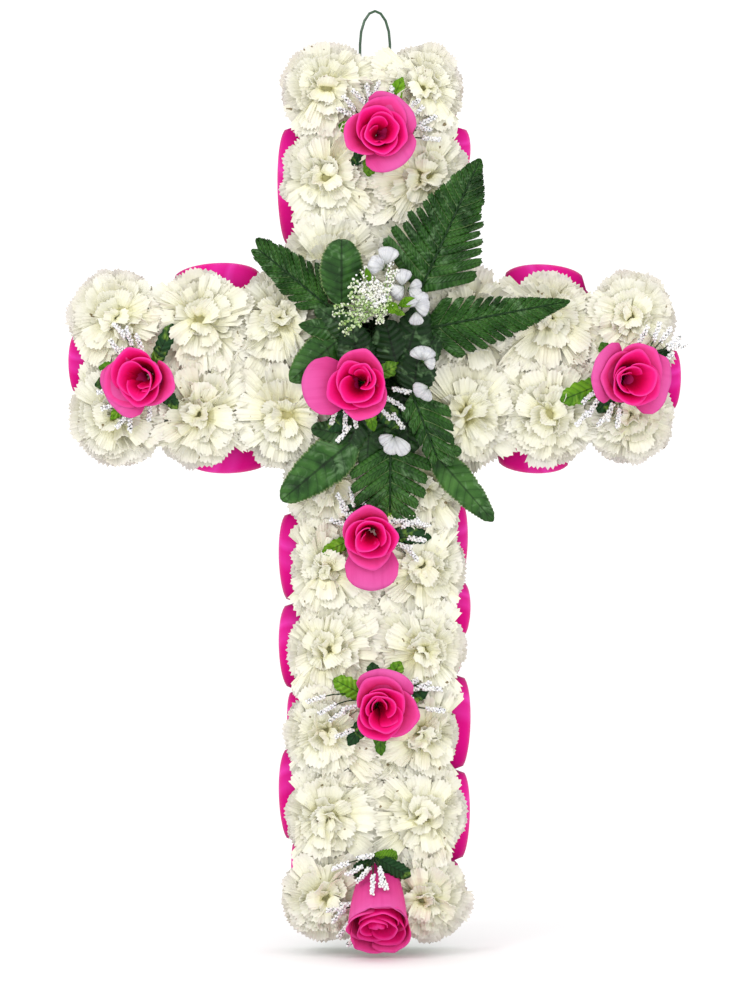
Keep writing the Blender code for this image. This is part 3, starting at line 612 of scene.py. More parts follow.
def head_reach(middle, free, extra):
    """How far a head's petals go at an angle: the free length where nothing stands beside it, further
    where it faces other heads over the foam, and at most a little past half way to each of them."""
    others = np.concatenate([MIDDLES, [(0.0, 0.0)]])
    apart = np.linalg.norm(others - middle, axis=1)
    near = (apart > 0.02) & (apart < NEIGHBOUR)
    heading = np.arctan2(*(others[near] - middle).T[::-1])
    over_foam = np.abs(others[near] + middle).min(axis=1) / 2 < 0.9 * HALF_ARM
    half_way = apart[near] / 2 + PAST_HALF_WAY
    half_way[np.linalg.norm(others[near], axis=1) < 0.001] = INNER_REACH

    def reach(angle):
        facing = np.cos(np.asarray(angle)[..., None] - heading)
        wall = np.where(facing > 0.05, half_way / np.maximum(facing, 0.05), 1.0).min(axis=-1)
        inner = ((facing > math.cos(math.radians(34))) & over_foam).any(axis=-1)
        crowd = np.clip((facing.max(axis=-1) - 0.45) / 0.40, 0, 1)
        here = free + extra[0] * np.cos(angle) ** 2 + extra[1] * np.sin(angle) ** 2
        return np.minimum(wall, np.where(inner, INNER_REACH, here)), crowd

    return reach


def curve(a, b, c, d, v):
    """Cubic curve a(1-v)^3 + 3b v(1-v)^2 + 3c v^2(1-v) + d v^3 and its direction."""
    w = 1 - v
    place = a * w**3 + 3 * b * v * w**2 + 3 * c * v**2 * w + d * v**3
    way = 3 * (b - a) * w**2 + 6 * (c - b) * v * w + 3 * (d - c) * v**2
    return place, way


def each(values):
    """One value for each petal, set against the rows and columns of its grid."""
    return np.asarray(values)[:, None, None]


def add_petals(head, middle, reach, number, rng):
    """The fan petals of a head. Each petal's middle line is a curve from the calyx to a place on the
    dome, lying over at its rim. Across it the petal widens as a fan, and stands off its line by
    ruffle sin(turns u) v^2 + fold |u| v + cup u^2 v, in small sharp pleats that end in teeth at its rim."""
    counts = [ring[0] for ring in PETAL_RINGS]
    leans, halves, sinks = np.repeat([ring[1:] for ring in PETAL_RINGS], counts, axis=0).T
    ring = np.repeat(np.arange(len(counts)), counts)
    total = len(ring)
    order = np.concatenate([np.arange(n) / n for n in counts])
    turn = 2 * np.pi * (order + RING_TURN * ring) + rng.normal(0, 0.12, total) + number
    lean = np.radians(leans + rng.normal(0, 5.5, total))
    half = halves * rng.uniform(0.85, 1.15, total)
    farthest, crowd = reach(turn)
    out = farthest * np.sin(np.minimum(np.abs(lean), np.pi / 2)) * rng.uniform(0.90, 1.04, total)
    rim = FREE_RIM + (CROWD_RIM - FREE_RIM) * crowd
    high = rim + (TOP_RISE - rim) * np.cos(lean) - sinks + rng.normal(0, 0.0013, total)
    heart = np.clip((70 - np.degrees(lean)) / 50, 0, 1)
    rise = (90 - np.degrees(lean)) * 0.42 + rng.normal(2, 10, total) + heart * rng.normal(0, 13, total)
    over = np.radians(np.clip(rise, -20, 70))

    u = np.linspace(-1, 1, PETAL_COLUMNS)[None, None, :]
    v = np.linspace(PETAL_FOOT, 1.0, PETAL_ROWS)[None, :, None] ** 0.9
    crest = np.where(np.arange(PETAL_COLUMNS) % 2, -1.0, 1.0)[None, None, :]
    ragged = rng.uniform(-0.022, 0.010, (total, 1, PETAL_COLUMNS))
    t = v * (1 - each(rng.uniform(0.06, 0.14, total)) * np.abs(u) ** 2.4)
    t = t + (v > 0.999) * (TOOTH * crest + ragged)
    start_r, start_h = each(0.0012 + 0.002 * rng.random(total)), each(np.full(total, 0.008))
    end_r, end_h = each(out), each(high)
    length = np.hypot(end_r - start_r, end_h - start_h)
    mid_r, mid_h = start_r + 0.12 * (end_r - start_r), start_h + 0.72 * (end_h - start_h) + 0.003
    back_r, back_h = end_r - 0.42 * length * np.cos(each(over)), end_h - 0.42 * length * np.sin(each(over))
    r, way_r = curve(start_r, mid_r, back_r, end_r, t)
    h, way_h = curve(start_h, mid_h, back_h, end_h, t)
    size = np.hypot(way_r, way_h)
    normal_r, normal_h = -way_h / size, way_r / size

    wide = each(half) * (0.12 + 0.88 * t**1.1)
    depth = each(rng.uniform(0.0006, 0.0015, total) * (1 + 0.4 * heart))
    turns, start = each(rng.uniform(3.5, 7.0, total)), each(rng.uniform(0, 6.28, total))
    ruffle = depth * t**2 * np.sin(turns * u + start + 2.0 * t)
    sharp = each(rng.normal(0.0, 0.18, total) * (1 + heart))
    fold = sharp * np.abs(u - each(rng.uniform(-0.4, 0.4, total))) * wide * t
    cup = each(rng.normal(0.06, 0.14, total)) * u**2 * wide * t
    pleat = crest * each(rng.uniform(0.00015, 0.00042, total)) * t**1.2
    stand, side = ruffle + fold + cup + pleat, wide * u
    twist = each(rng.normal(0, 0.25, total) * (1 + heart)) * t
    side, stand = side * np.cos(twist) - stand * np.sin(twist), side * np.sin(twist) + stand * np.cos(twist)
    r, h = r + normal_r * stand, h + normal_h * stand
    across = middle[0] + r * np.cos(each(turn)) - side * np.sin(each(turn))
    up = middle[1] + r * np.sin(each(turn)) + side * np.cos(each(turn))
    # Share of the outer colour, with its painted grey-mauve shade at the rims, that each petal takes: less
    # where it faces other heads
    outer = np.clip((np.degrees(lean) - 40) / 50, 0, 1) * (1 - 0.7 * crowd)
    head.grids(stacked(across, up, h), tip=t, tone=np.broadcast_to(each(outer), t.shape))


def add_calyx(head, middle, reach):
    """The calyx, turned: its profile round the axis, its cup drawn in where the petals are short."""
    radius, rise = np.array(CALYX).T[:, :, None]
    angle = 2 * np.pi * np.arange(CALYX_SIDES) / CALYX_SIDES
    drawn = np.minimum(1.0, reach(angle)[0] * 0.80 / CUP)
    far = radius * np.where(radius > FOOT, drawn, 1.0)
    points = stacked(middle[0] + far * np.cos(angle), middle[1] + far * np.sin(angle), rise).reshape(-1, 3)
    green = np.repeat(np.clip((0.0125 - rise[:, 0]) / 0.004, 0, 1), CALYX_SIDES)
    head.add(points, rings(len(CALYX), CALYX_SIDES), np.zeros((len(points), 2)), 0.25, 0.0, green)


def carnation(node, number):
    """A head of fan petals on its calyx."""
    rng = np.random.default_rng(300 + number)
    middle = np.array(HEADS[node])
    limb = node.split("_")[1]
    if limb == "arm":
        limb = "arm_left" if middle[0] < 0 else "arm_right"
    trim = HEAD_TRIMS.get(node.removeprefix("carnation_"), (0.0, 0.0, 0.0))
    middle = middle + [trim[2], 0.0]
    reach = head_reach(middle, FREE_REACH[limb], trim)
    head = Shape()
    add_petals(head, middle, reach, number, rng)
    add_calyx(head, middle, reach)
    head.finish(node + "_petals", CARNATION, "carnation_fabric", [node], thick=0.0003, crisp=True)


for number, node in enumerate(HEADS):
    carnation(node, number)


# Roses

ROSE_DEPTH = 0.030
# Each rose: its pick's foot (across, up), the middle of its face (across, up, rise), its tilt in degrees,
# its turn, its size, how far its heart is off its middle, and its long petals (heading in degrees, length)
ROSES = {
    "crown": (
        (0.0, 0.167), (0.0020, 0.1655, 0.064), (3, 4), 60, 0.97, (0.0020, -0.0010),
        ((305, 0.030), (50, 0.029)),
    ),
    "left": (
        (-0.1555, 0.0), (-0.1685, -0.0105, 0.066), (-18, -8), 200, 1.02, (0.0010, 0.0),
        ((215, 0.030),),
    ),
    "right": (
        (0.1555, 0.0), (0.1845, -0.0105, 0.068), (22, -6), 40, 1.06, (-0.0010, -0.0015),
        ((345, 0.031), (165, 0.031)),
    ),
    "centre": (
        (-0.012, -0.008), (-0.0130, -0.0140, 0.078), (-6, -4), 280, 1.00, (0.0010, 0.0010),
        ((185, 0.040),),
    ),
    "below_crossing": (
        (0.0, -0.1135), (-0.003, -0.1240, 0.064), (0, -14), 110, 0.93, (0.0, 0.0015),
        ((272, 0.039),),
    ),
    "middle": (
        (0.0, -0.2315), (0.0050, -0.2440, 0.066), (6, -12), 330, 1.00, (0.0, -0.0015),
        ((78, 0.029),),
    ),
    "foot": ((0.0, -0.3495), (0.0030, -0.3975, 0.0588), (0, -46), 30, 1.0, (-0.0010, 0.0), ()),
}


def leaning(tilt):
    """A rose's axis, which leans by the tangents of its two tilts, and two directions across it."""
    axis = unit(np.array([math.tan(math.radians(tilt[0])), math.tan(math.radians(tilt[1])), 1.0]))
    first = unit(np.array([1.0, 0.0, 0.0]) - axis * axis[0])
    return axis, first, np.cross(axis, first)


# From the outermost petal of a rose to the innermost: radius of the lip, height, half span in degrees,
# roll of the lip, and how much nearer to the axis a petal's sides are than its middle
ROSE_PETALS = 7
ROSE_LIPS = (0.0212, 0.0112)
ROSE_HEIGHTS = (0.0200, 0.0275)
ROSE_SPANS = (68, 116)
ROSE_ROLLS = (0.0042, 0.0010)
ROSE_DIPS = (0.13, 0.34)
ROSE_BELLY = 0.55
GOLDEN_TURN = math.radians(137.5)
# The rose that nods is a deeper, rounder bell: its depth, the heights of its petals, where its sprays and
# slips fork, the share of the roll and the belly that its petals have
NODDING = {"foot": (0.0560, (0.0530, 0.0570), (-0.0010, -0.3455, 0.0480), 0.3, 0.28)}
# Its further petals: heading and half span in degrees, lip, height, roll, share of the heart's place, tone,
# dip and belly. Two wrap it from above, each with one that fills its heart, and two stand out below
NODDING_PETALS = (
    (66, 52, 0.0234, 0.0525, -0.0010, 0, 0.9, 0.08, 0.22),
    (90, 75, 0.0085, 0.0570, -0.0050, 1, 0.0, 0.10, 0.55),
    (122, 52, 0.0234, 0.0525, -0.0010, 0, 0.9, 0.08, 0.22),
    (90, 75, 0.0085, 0.0570, -0.0050, 1, 0.0, 0.10, 0.55),
    (238, 50, 0.0236, 0.0585, 0.0002, 0, 0.45, 0.10, 0.26),
    (305, 50, 0.0236, 0.0585, 0.0002, 0, 0.45, 0.10, 0.26),
)
LONG_PETAL_HALF = 0.0212
SEPALS = 5


def rose(word):
    """A rose of cupped petals, each a golden turn on from the last and a little further in. A petal
    point at u across and v along stands at the angle heading + span u, at radius
    lip t^belly (1 - dip |u|^1.9) + roll curl^1.6, and at height rim (t - 0.10 curl^2),
    with t lower towards its sides. A small petal stands low in its hollow."""
    face, tilt, turn, size, heart, long_petals = ROSES[word][1:]
    rng = np.random.default_rng(len(word) * 31 + turn)
    nods = word in NODDING
    depth, heights, _, rolled, belly = NODDING.get(word, (ROSE_DEPTH, ROSE_HEIGHTS, None, 1.0, ROSE_BELLY))
    axis, first, second = leaning(tilt)
    base = np.array(face) - axis * depth
    flower = Shape()
    columns, rows = 25, 11
    u = np.linspace(-1, 1, columns)[None, :]
    v = np.linspace(0.03, 1, rows)[:, None] ** 0.9

    def petal(heading, span, lip, rim, roll, shift, tone, dip, belly=ROSE_BELLY):
        t = v * (1 - rng.uniform(0.06, 0.12) * np.abs(u) ** 3)
        angle = heading + span * u * (0.55 + 0.45 * np.minimum(1, 1.6 * t))
        curl = np.clip((t - 0.66) / 0.34, 0, 1)
        peak = 0.0017 * np.exp(-(((u - rng.uniform(-0.3, 0.3)) / 0.15) ** 2))
        wave = (0.0009 * np.sin(2.5 * angle + rng.uniform(0, 6.28)) + peak) * curl
        r = 0.0004 + (lip - 0.0004) * t**belly * (1 - dip * np.abs(u) ** 1.9)
        r = (r + roll * curl**1.6 * (1 - 0.45 * u**2) + 0.0010 * u * t + wave) * size
        h = rim * (t - 0.10 * curl**2) / 0.90
        mid = base + shift[0] * first + shift[1] * second
        around = first * np.cos(angle)[..., None] + second * np.sin(angle)[..., None]
        points = mid + axis * h[..., None] + r[..., None] * around
        flower.grids(resting(points, 0.0035)[None], tip=t[None], tone=tone)

    def ways(heading):
        """Directions out along a petal and across it."""
        c, s = math.cos(heading), math.sin(heading)
        return first * c + second * s, second * c - first * s

    for n in range(ROSE_PETALS):
        share = n / (ROSE_PETALS - 1)
        ends = (ROSE_LIPS, heights, ROSE_SPANS, ROSE_ROLLS, ROSE_DIPS)
        lip, rim, span, roll, dip = (a + (b - a) * share for a, b in ends)
        petal(
            math.radians(turn) + n * GOLDEN_TURN + rng.normal(0, 0.12),
            math.radians(span) * rng.uniform(0.94, 1.06),
            lip,
            rim * rng.uniform(0.97, 1.03),
            roll * rolled,
            np.array(heart) * share + rng.normal(0, 0.0009, 2),
            0.45 if n < 2 else 0.0,
            dip * rng.uniform(0.85, 1.15),
            belly,
        )
    petal(math.radians(turn) + 2.2, math.radians(80), 0.0082, 0.80 * heights[1], 0.0002, heart, 0.0, 0.3)
    petal(0.0, math.radians(180), 0.005 if nods else 0.0105, 0.0085, 0.0, heart, 0.0, 0.0)
    for heading, span, lip, rim, roll, share, *rest in NODDING_PETALS if nods else ():
        petal(math.radians(heading), math.radians(span), lip, rim, roll, np.array(heart) * share, *rest)
    for heading, length in long_petals:
        t = v * (1 - 0.48 * (1 - np.sqrt(np.maximum(1 - u**2, 0.0))))
        wide = LONG_PETAL_HALF * size * np.sin(np.pi / 2 * np.minimum(1, 1.6 * t)) ** 0.8
        out_way, side_way = ways(math.radians(heading))
        far = length * t
        high = 0.004 + 0.0145 * np.sin(np.pi * np.minimum(1, 0.60 * t)) + 0.0030 * u**2 * t
        high = high + 0.0005 * np.sin(9 * u + heading) * t**2
        points = base + out_way * far[..., None] + side_way * (wide * u)[..., None] + axis * high[..., None]
        flower.grids(resting(points, 0.0032)[None], tip=t[None], tone=1.0)
    t, w = np.linspace(0, 1, 5)[:, None], np.linspace(-1, 1, 5)[None, :]
    for go in 2 * np.pi * np.arange(SEPALS) / SEPALS:
        out_way, side_way = ways(go)
        points = base + out_way * (0.003 + 0.014 * t)[..., None]
        points = points + side_way * (0.004 * w * (1 - t))[..., None]
        points = points + axis * (0.0002 + 0.006 * t**2 - 0.0006 * np.abs(w))[..., None]
        flower.grids(resting(points, 0.003)[None], tip=0.5, kind=1.0)
    flower.finish(f"rose_{word}_petals", ROSE, "rose_petals", [f"rose_{word}"], thick=0.0006)


for word in ROSES:
    rose(word)


# Satin ribbon

RIBBON_TURN = 0.023  # radius of its bend in the inner corners
RIBBON_PINCH = 0.0060  # how far it stands out at its pins
RIBBON_STATIONS, RIBBON_ROWS = 320, 13


def edge_route():
    """The foam's edge on the right, from the top of the shaft round the arm to the foot: straight
    stretches, with hollow quarter turns in the inner corners and small round ones at the arm's end."""
    gap, turn, small = 0.0005, RIBBON_TURN, 0.004
    edge, end = HALF_ARM + gap, HALF_SPAN + gap

    def arc(middle, radius, first, last):
        a = np.radians(np.linspace(first, last, 13))
        return np.stack([middle[0] + radius * np.cos(a), middle[1] + radius * np.sin(a)], axis=-1)

    pieces = [
        [(edge, 0.205)],
        arc((edge + turn, edge + turn), turn, 180, 270),
        arc((end - small, edge - small), small, 90, 0),
        arc((end - small, -edge + small), small, 0, -90),
        arc((edge + turn, -edge - turn), turn, 90, 180),
        [(edge, -0.385)],
    ]
    corners = np.concatenate([np.asarray(p, dtype=float) for p in pieces])
    along = np.concatenate([[0], np.cumsum(np.linalg.norm(np.diff(corners, axis=0), axis=1))])
    return corners, along


# Each side's pins down the edge, as the nearest places on it (across, up), and how far the puff
# after each stands out in mm. Puffs between two pins of a pair stay tucked under the flowers
RIBBON_PINS = {
    "left": (
        ((0.050, 0.205), 8), ((0.050, 0.174), 20), ((0.050, 0.087), 12), ((0.082, 0.050), 26),
        ((0.148, 0.050), 1.5), ((0.203, 0.026), 18), ((0.203, -0.020), 1.5), ((0.136, -0.050), 25),
        ((0.074, -0.050), 12), ((0.050, -0.102), 19), ((0.050, -0.1700), 19), ((0.050, -0.231), 13),
        ((0.050, -0.273), 19), ((0.050, -0.342), 10), ((0.050, -0.385), 0),
    ),
    "right": (
        ((0.050, 0.205), 8), ((0.050, 0.176), 18.5), ((0.050, 0.138), 10), ((0.093, 0.050), 25),
        ((0.151, 0.050), 1.5), ((0.203, 0.016), 17.5), ((0.203, -0.030), 1.5), ((0.142, -0.050), 25),
        ((0.086, -0.050), 12), ((0.050, -0.095), 16.5), ((0.050, -0.152), 18.5), ((0.050, -0.196), 12),
        ((0.050, -0.221), 18.5), ((0.050, -0.290), 18), ((0.050, -0.356), 10), ((0.050, -0.385), 0),
    ),
}


def satin_ribbon(word, side):
    """A ribbon along the edge. Across it, it runs in an arc from the foam's back to its front, standing
    out by puff cos(a)^0.6 at rise middle + half sin(a). Along it, each puff swells as sin(pi x^0.85)^0.26
    from one pin to the next, with small gathers at the pins."""
    corners, along = edge_route()
    s = np.linspace(0, along[-1], RIBBON_STATIONS)
    line = np.stack([np.interp(s, along, corners[:, k]) for k in (0, 1)], axis=-1)
    way = unit(np.gradient(line, axis=0))
    smooth = np.ones(9) / 9
    outward = np.stack([-way[:, 1], way[:, 0]], axis=-1)
    padded = np.pad(outward, ((4, 4), (0, 0)), mode="edge")
    outward = unit(np.stack([np.convolve(padded[:, k], smooth, mode="valid") for k in (0, 1)], axis=-1))
    pins = np.array([s[np.argmin(np.hypot(*(line - pin).T))] for pin, _ in RIBBON_PINS[word]])
    pins[0], pins[-1] = 0.0, s[-1]
    puff = np.array([stand for _, stand in RIBBON_PINS[word][:-1]]) * 0.001
    which = np.clip(np.searchsorted(pins, s, side="right") - 1, 0, len(puff) - 1)
    x = (s - pins[which]) / (pins[which + 1] - pins[which])
    swell = np.sin(np.pi * np.clip(x, 0, 1) ** 0.85) ** 0.26
    out = RIBBON_PINCH + (puff[which] - RIBBON_PINCH) * swell
    a = np.radians(np.linspace(-90, 90, RIBBON_ROWS))[None, :]
    gather = 0.0007 * (1 - swell)[:, None] * np.sin(7 * a + which[:, None])
    bulge = out[:, None] * np.cos(a) ** 0.6 + gather * np.cos(a)
    slack = 0.0008 * np.sin(60 * s + which)[:, None] * np.cos(a)
    rise = -0.0115 + (0.0115 + 0.0015 * swell[:, None]) * np.sin(a) + slack
    across, up = (line[:, None, k] + outward[:, None, k] * bulge for k in (0, 1))
    points = stacked(side * across, up, rise)
    # Where along each puff a point lies, which places the satin's painted highlight band; the swell, given
    # as tip, sets its painted shade at the pins
    highlight_place = x[:, None] + 0.10 * np.sin(a) * (-1.0) ** which[:, None]
    band = Shape()
    band.grids(points[None], tip=np.broadcast_to(swell[:, None], rise.shape)[None], kind=highlight_place[None])
    node = f"satin_ribbon_{word}"
    made = band.finish(f"ribbon_{word}", SATIN, "ribbon_satin", [node], thick=0.0003, flip=side < 0)


satin_ribbon("left", -1)
satin_ribbon("right", 1)


# Leaves


def add_blade(
    shape, root, point, half, tone=0.0, teeth=10, tooth=0.12, widest=0.42, arch=0.004, fold=0.15,
    floor=0.0015, cut=1.0,
):
    """Puts one leaf into a piece, from its root to its point. Its half width swells to its widest share
    and closes at the point, the faster the larger the cut; saw teeth run along its edge. It arches up
    between its ends, its halves hang from the midrib by fold |u|, and the veins stand as low ridges
    that run out and forward."""
    root, point = np.array(root, dtype=float), np.array(point, dtype=float)
    rows, columns = max(3 * teeth, 24) + 1, 7
    t = np.linspace(0, 1, rows)[:, None]
    u = np.linspace(-1, 1, columns)[None, :]
    stops = [0, 0.5 * widest, widest, 0.5 * (1 + widest), 0.93, 1]
    swell = np.interp(t, stops, [0.10, 0.78, 1.0, 0.72, 0.28, 0.02]) ** cut
    swell = swell * (1 - tooth * ((t * teeth) % 1.0) * np.abs(u) ** 3)
    wide = half * swell
    go = point - root
    length = np.hypot(go[0], go[1])
    side = np.array([-go[1], go[0], 0.0]) / length
    ahead = np.array([go[0], go[1], 0.0]) / length
    points = root + go * t[..., None]
    points = points + side * (wide * u)[..., None] + ahead * (0.10 * half * u**2 * swell)[..., None]
    veins = np.abs(((t * LEAF_VEINS - np.abs(u)) % 1.0) - 0.5)
    points[..., 2] += arch * np.sin(np.pi * t) - fold * wide * np.abs(u) + 0.0010 * veins * (1 - t) * 2
    shape.grids(resting(points, floor)[None], tip=np.broadcast_to(t, (rows, columns))[None], tone=tone)


def add_frond(
    shape, root, point, sides, count, split, shallow=0.10, power=0.85, deep=0.72, pitch=1.0, seed=0,
    floor=0.003,
):
    """A frond in one sheet. At t along the midrib and s out from it, a point lies at
    midrib(t) + s edge(t) reach (1 - t)^power in the strap's direction. Strap k starts at
    t = (k / count)^(1 / pitch). The edge is 1 - depth crease^8, with crease |2 frac(k) - 1|, so it is
    cut deeply between the straps up to the split, and shallowly after it, with small teeth at the
    ends of the straps. Each strap is a ridge, tipped a little over the next one."""
    rng = np.random.default_rng(seed)
    root, point = np.array(root, dtype=float), np.array(point, dtype=float)
    k = np.linspace(0, count, count * 10 + 1)[:, None]
    t = (k / count) ** (1 / pitch)
    s = np.linspace(0, 1, 8)[None, :]
    frac = k % 1.0
    crease = np.abs(2 * frac - 1)
    go = point - root
    heading = math.atan2(go[1], go[0])
    depth = np.interp(t, [0, split, split + 1.2 / count, 1], [deep, deep, shallow, shallow])
    strap = np.minimum(k.astype(int), count - 1)
    for side, (angle, reach) in zip((1, -1), sides):
        edge = 1 - depth * crease**8 - 0.05 * ((frac * 2.5) % 1.0)
        jitter = (1 + rng.uniform(-0.06, 0.06, count))[strap]
        far = s * edge * jitter * reach * np.maximum(1 - t, 0.0) ** power
        turn = heading + side * np.radians(angle * (1 - 0.30 * t)) - side * 0.10 * s
        hang = rng.uniform(0.08, 0.26, count)[strap]
        high = 0.004 * np.sin(np.pi * t) - hang * far + 0.0018 * (1 - crease**2) * s**0.5
        high = high + 0.0026 * (frac - 0.5) * s * (depth > 0.5 * deep) + 0.0008
        high = high + 0.0006 * np.sin(30 * s + 5 * rng.random(count)[strap]) * s * (1 - t)
        points = root + go * t[..., None] + stacked(np.cos(turn) * far, np.sin(turn) * far, high)
        maps = stacked(0.5 + 0.5 * crease, far / 0.03, 0.0)[..., :2]
        if side < 0:
            points, maps = points[:, ::-1], maps[:, ::-1]
        along = np.broadcast_to(t, points.shape[:2])
        shape.grids(resting(points, floor)[None], tip=along[None], tone=0.0, maps=maps)
    k = np.linspace(0, 0.97, 9)[:, None]
    rib = root + go * k
    rib[:, 2] += 0.004 * np.sin(np.pi * k[:, 0]) + 0.0012
    shape.tube(resting(rib, floor + 0.0008), 0.0006 * (1 - 0.6 * k[:, 0]), kind=1.0)


def stalk(shape, foot, top, radius=0.0015):
    """A round stem from the foam to what it carries."""
    start = np.array([foot[0], foot[1], 0.0006])
    t = np.linspace(0, 1, 6)[:, None]
    shape.tube(start + (np.array(top) - start) * t, radius, sides=8, kind=1.0)


def frond(point, sides, count, split, **more):
    """What add_frond needs besides its root: the point, each side's (angle in degrees, reach), how many
    straps, how far the deep cuts go, and anything else that isn't as usual."""
    return add_frond, None, (point, sides, count, split), more


def leaf(point, half, root=None, **more):
    """What add_blade needs: the point, half the width, its own root if it has one, and its options."""
    return add_blade, root, (point, half), more


# Foliage over the crossing. Each node: the foot of its stem, the root of its blades, and its blades
FOLIAGE = {
    "fern_top": (
        (0.014, 0.030),
        (0.0310, 0.0510, 0.052),
        frond(
            (0.0740, 0.1450, 0.056), ((71, 0.045), (62, 0.043)), 16, 0.40, power=0.78, pitch=1.25, seed=1,
        ),
    ),
    "fern_right": (
        (0.018, 0.014),
        (0.0330, 0.0255, 0.047),
        frond(
            (0.1375, 0.0455, 0.048), ((56, 0.027), (60, 0.034)), 16, 0.42, power=0.72, pitch=1.25, seed=2,
        ),
    ),
    "fern_left": (
        (-0.018, 0.026),
        (-0.0330, 0.0415, 0.047),
        frond(
            (-0.0825, 0.0820, 0.050), ((56, 0.021), (50, 0.028)), 11, 0.22, power=0.34, pitch=1.2, seed=3,
        ),
    ),
    "fern_lower": (
        (0.008, -0.038),
        (0.0110, -0.0560, 0.048),
        frond((0.0105, -0.1080, 0.036), ((78, 0.031), (66, 0.036)), 6, 0.85, power=0.25, seed=4),
        leaf((-0.0230, -0.0640, 0.044), 0.0125, (-0.0050, -0.0250, 0.044), tone=0.8, cut=0.6),
        leaf((0.0060, -0.0640, 0.044), 0.0125, (0.0080, -0.0250, 0.043), tone=0.9, cut=0.6),
        leaf((0.0250, -0.0620, 0.043), 0.0140, (0.0190, -0.0140, 0.042), tone=0.8, cut=0.6),
        leaf((-0.0060, -0.0720, 0.043), 0.0120, (-0.0030, -0.0300, 0.042), tone=0.7, cut=0.6),
    ),
    "leaf_round": (
        (-0.006, 0.030),
        (-0.0235, 0.0420, 0.049),
        leaf((-0.0235, 0.0885, 0.056), 0.0165, teeth=20, tooth=0.10, widest=0.5, cut=0.55, fold=0.1),
    ),
    "leaf_left": (
        (-0.018, 0.002),
        (-0.0200, 0.0230, 0.046),
        leaf((-0.0600, -0.0110, 0.044), 0.0150, teeth=20, tooth=0.10, cut=0.8),
        leaf((-0.0540, 0.0290, 0.044), 0.0085, teeth=12, tooth=0.10),
        leaf((-0.0170, 0.0300, 0.050), 0.0140, (-0.0100, -0.0060, 0.050), tone=1.0, cut=0.6),
        leaf((-0.0420, 0.0420, 0.046), 0.0110, (-0.0080, 0.0180, 0.047), tone=0.7, cut=0.6),
    ),
    "leaf_lower_left": (
        (-0.010, -0.034),
        (-0.0120, -0.0500, 0.045),
        leaf((-0.0660, -0.0950, 0.046), 0.0175, teeth=28, tooth=0.10, widest=0.36, cut=0.7),
        leaf((-0.0450, -0.0440, 0.045), 0.0090, tone=0.6, teeth=9, cut=0.6),
    ),
    "leaf_lower_right": (
        (0.020, -0.036),
        (0.0400, -0.0600, 0.043),
        leaf((0.0835, -0.1098, 0.044), 0.0125, teeth=26, widest=0.36, cut=0.75),
        leaf((0.0612, -0.0605, 0.042), 0.0056, teeth=5, widest=0.6, cut=0.5),
    ),
    "leaf_lobed": (
        (0.020, -0.016),
        (0.0260, -0.0200, 0.054),
        frond(
            (0.0440, -0.0660, 0.056), ((58, 0.027), (60, 0.015)), 5, 1.0,
            deep=0.36, power=0.22, seed=5, floor=0.0045,
        ),
        leaf((0.0310, 0.0140, 0.050), 0.0150, (0.0270, -0.0210, 0.050), tone=1.0, cut=0.6),
        leaf((0.0070, 0.0320, 0.048), 0.0150, (0.0170, -0.0060, 0.048), tone=1.0, cut=0.6),
        leaf((0.0330, 0.0420, 0.047), 0.0150, (0.0190, -0.0040, 0.047), tone=1.0, cut=0.6),
        leaf((0.0450, 0.0260, 0.046), 0.0100, (0.0300, -0.0040, 0.046), tone=0.8, teeth=8, cut=0.6),
    ),
}

for node, (foot, root, *blades) in FOLIAGE.items():
    foliage = Shape()
    stalk(foliage, foot, root)
    for add, own_root, places, more in blades:
        add(foliage, own_root or root, *places, **more)
    foliage.finish(f"{node}_cloth", DARK, "dark_green_leaf", [node], thick=0.0004)


# Picks

# Leaves of each pick: tip (across, up), half width, tone from fresh at 0 to dark green at 1
PICK_LEAVES = {
    "crown": (
        (0.0196, 0.2044, 0.0062, 0.0), (-0.0259, 0.1708, 0.0056, 0.25), (-0.0049, 0.1344, 0.006, 0.35),
        (-0.0161, 0.1421, 0.005, 1.0),
    ),
    "left": (
        (-0.1955, -0.0009, 0.0066, 0.15), (-0.1983, -0.0135, 0.007, 1.0), (-0.143, 0.0299, 0.0062, 1.0),
        (-0.1395, -0.0303, 0.0056, 1.0), (-0.1871, -0.038, 0.005, 0.0),
    ),
    "right": (
        (0.131, -0.0247, 0.0088, 0.15), (0.1598, 0.0166, 0.006, 0.55), (0.2081, 0.0103, 0.006, 1.0),
        (0.1577, -0.0331, 0.007, 1.0),
    ),
    "centre": (
        (0.0196, 0.0019, 0.006, 0.5), (-0.0007, -0.0464, 0.005, 0.25), (-0.0315, -0.0471, 0.008, 1.0),
        (0.0189, -0.0443, 0.0085, 1.0),
    ),
    "below_crossing": (
        (0.0182, -0.0927, 0.0068, 0.15), (-0.0378, -0.1326, 0.0058, 0.15),
        (0.0399, -0.1214, 0.007, 1.0), (-0.0203, -0.099, 0.0085, 1.0),
    ),
    "middle": (
        (-0.0294, -0.2216, 0.0078, 0.0), (0.0182, -0.209, 0.0068, 0.0), (0.0378, -0.2293, 0.008, 1.0),
        (0.0042, -0.2763, 0.005, 0.4), (-0.0189, -0.2686, 0.006, 1.0), (-0.0021, -0.2097, 0.006, 1.0),
    ),
    "foot": (
        (0.0160, -0.3478, 0.0066, 0.3), (0.0252, -0.3612, 0.0062, 1.0), (-0.0150, -0.3605, 0.006, 1.0),
        (0.0170, -0.3590, 0.0062, 1.0),
    ),
}
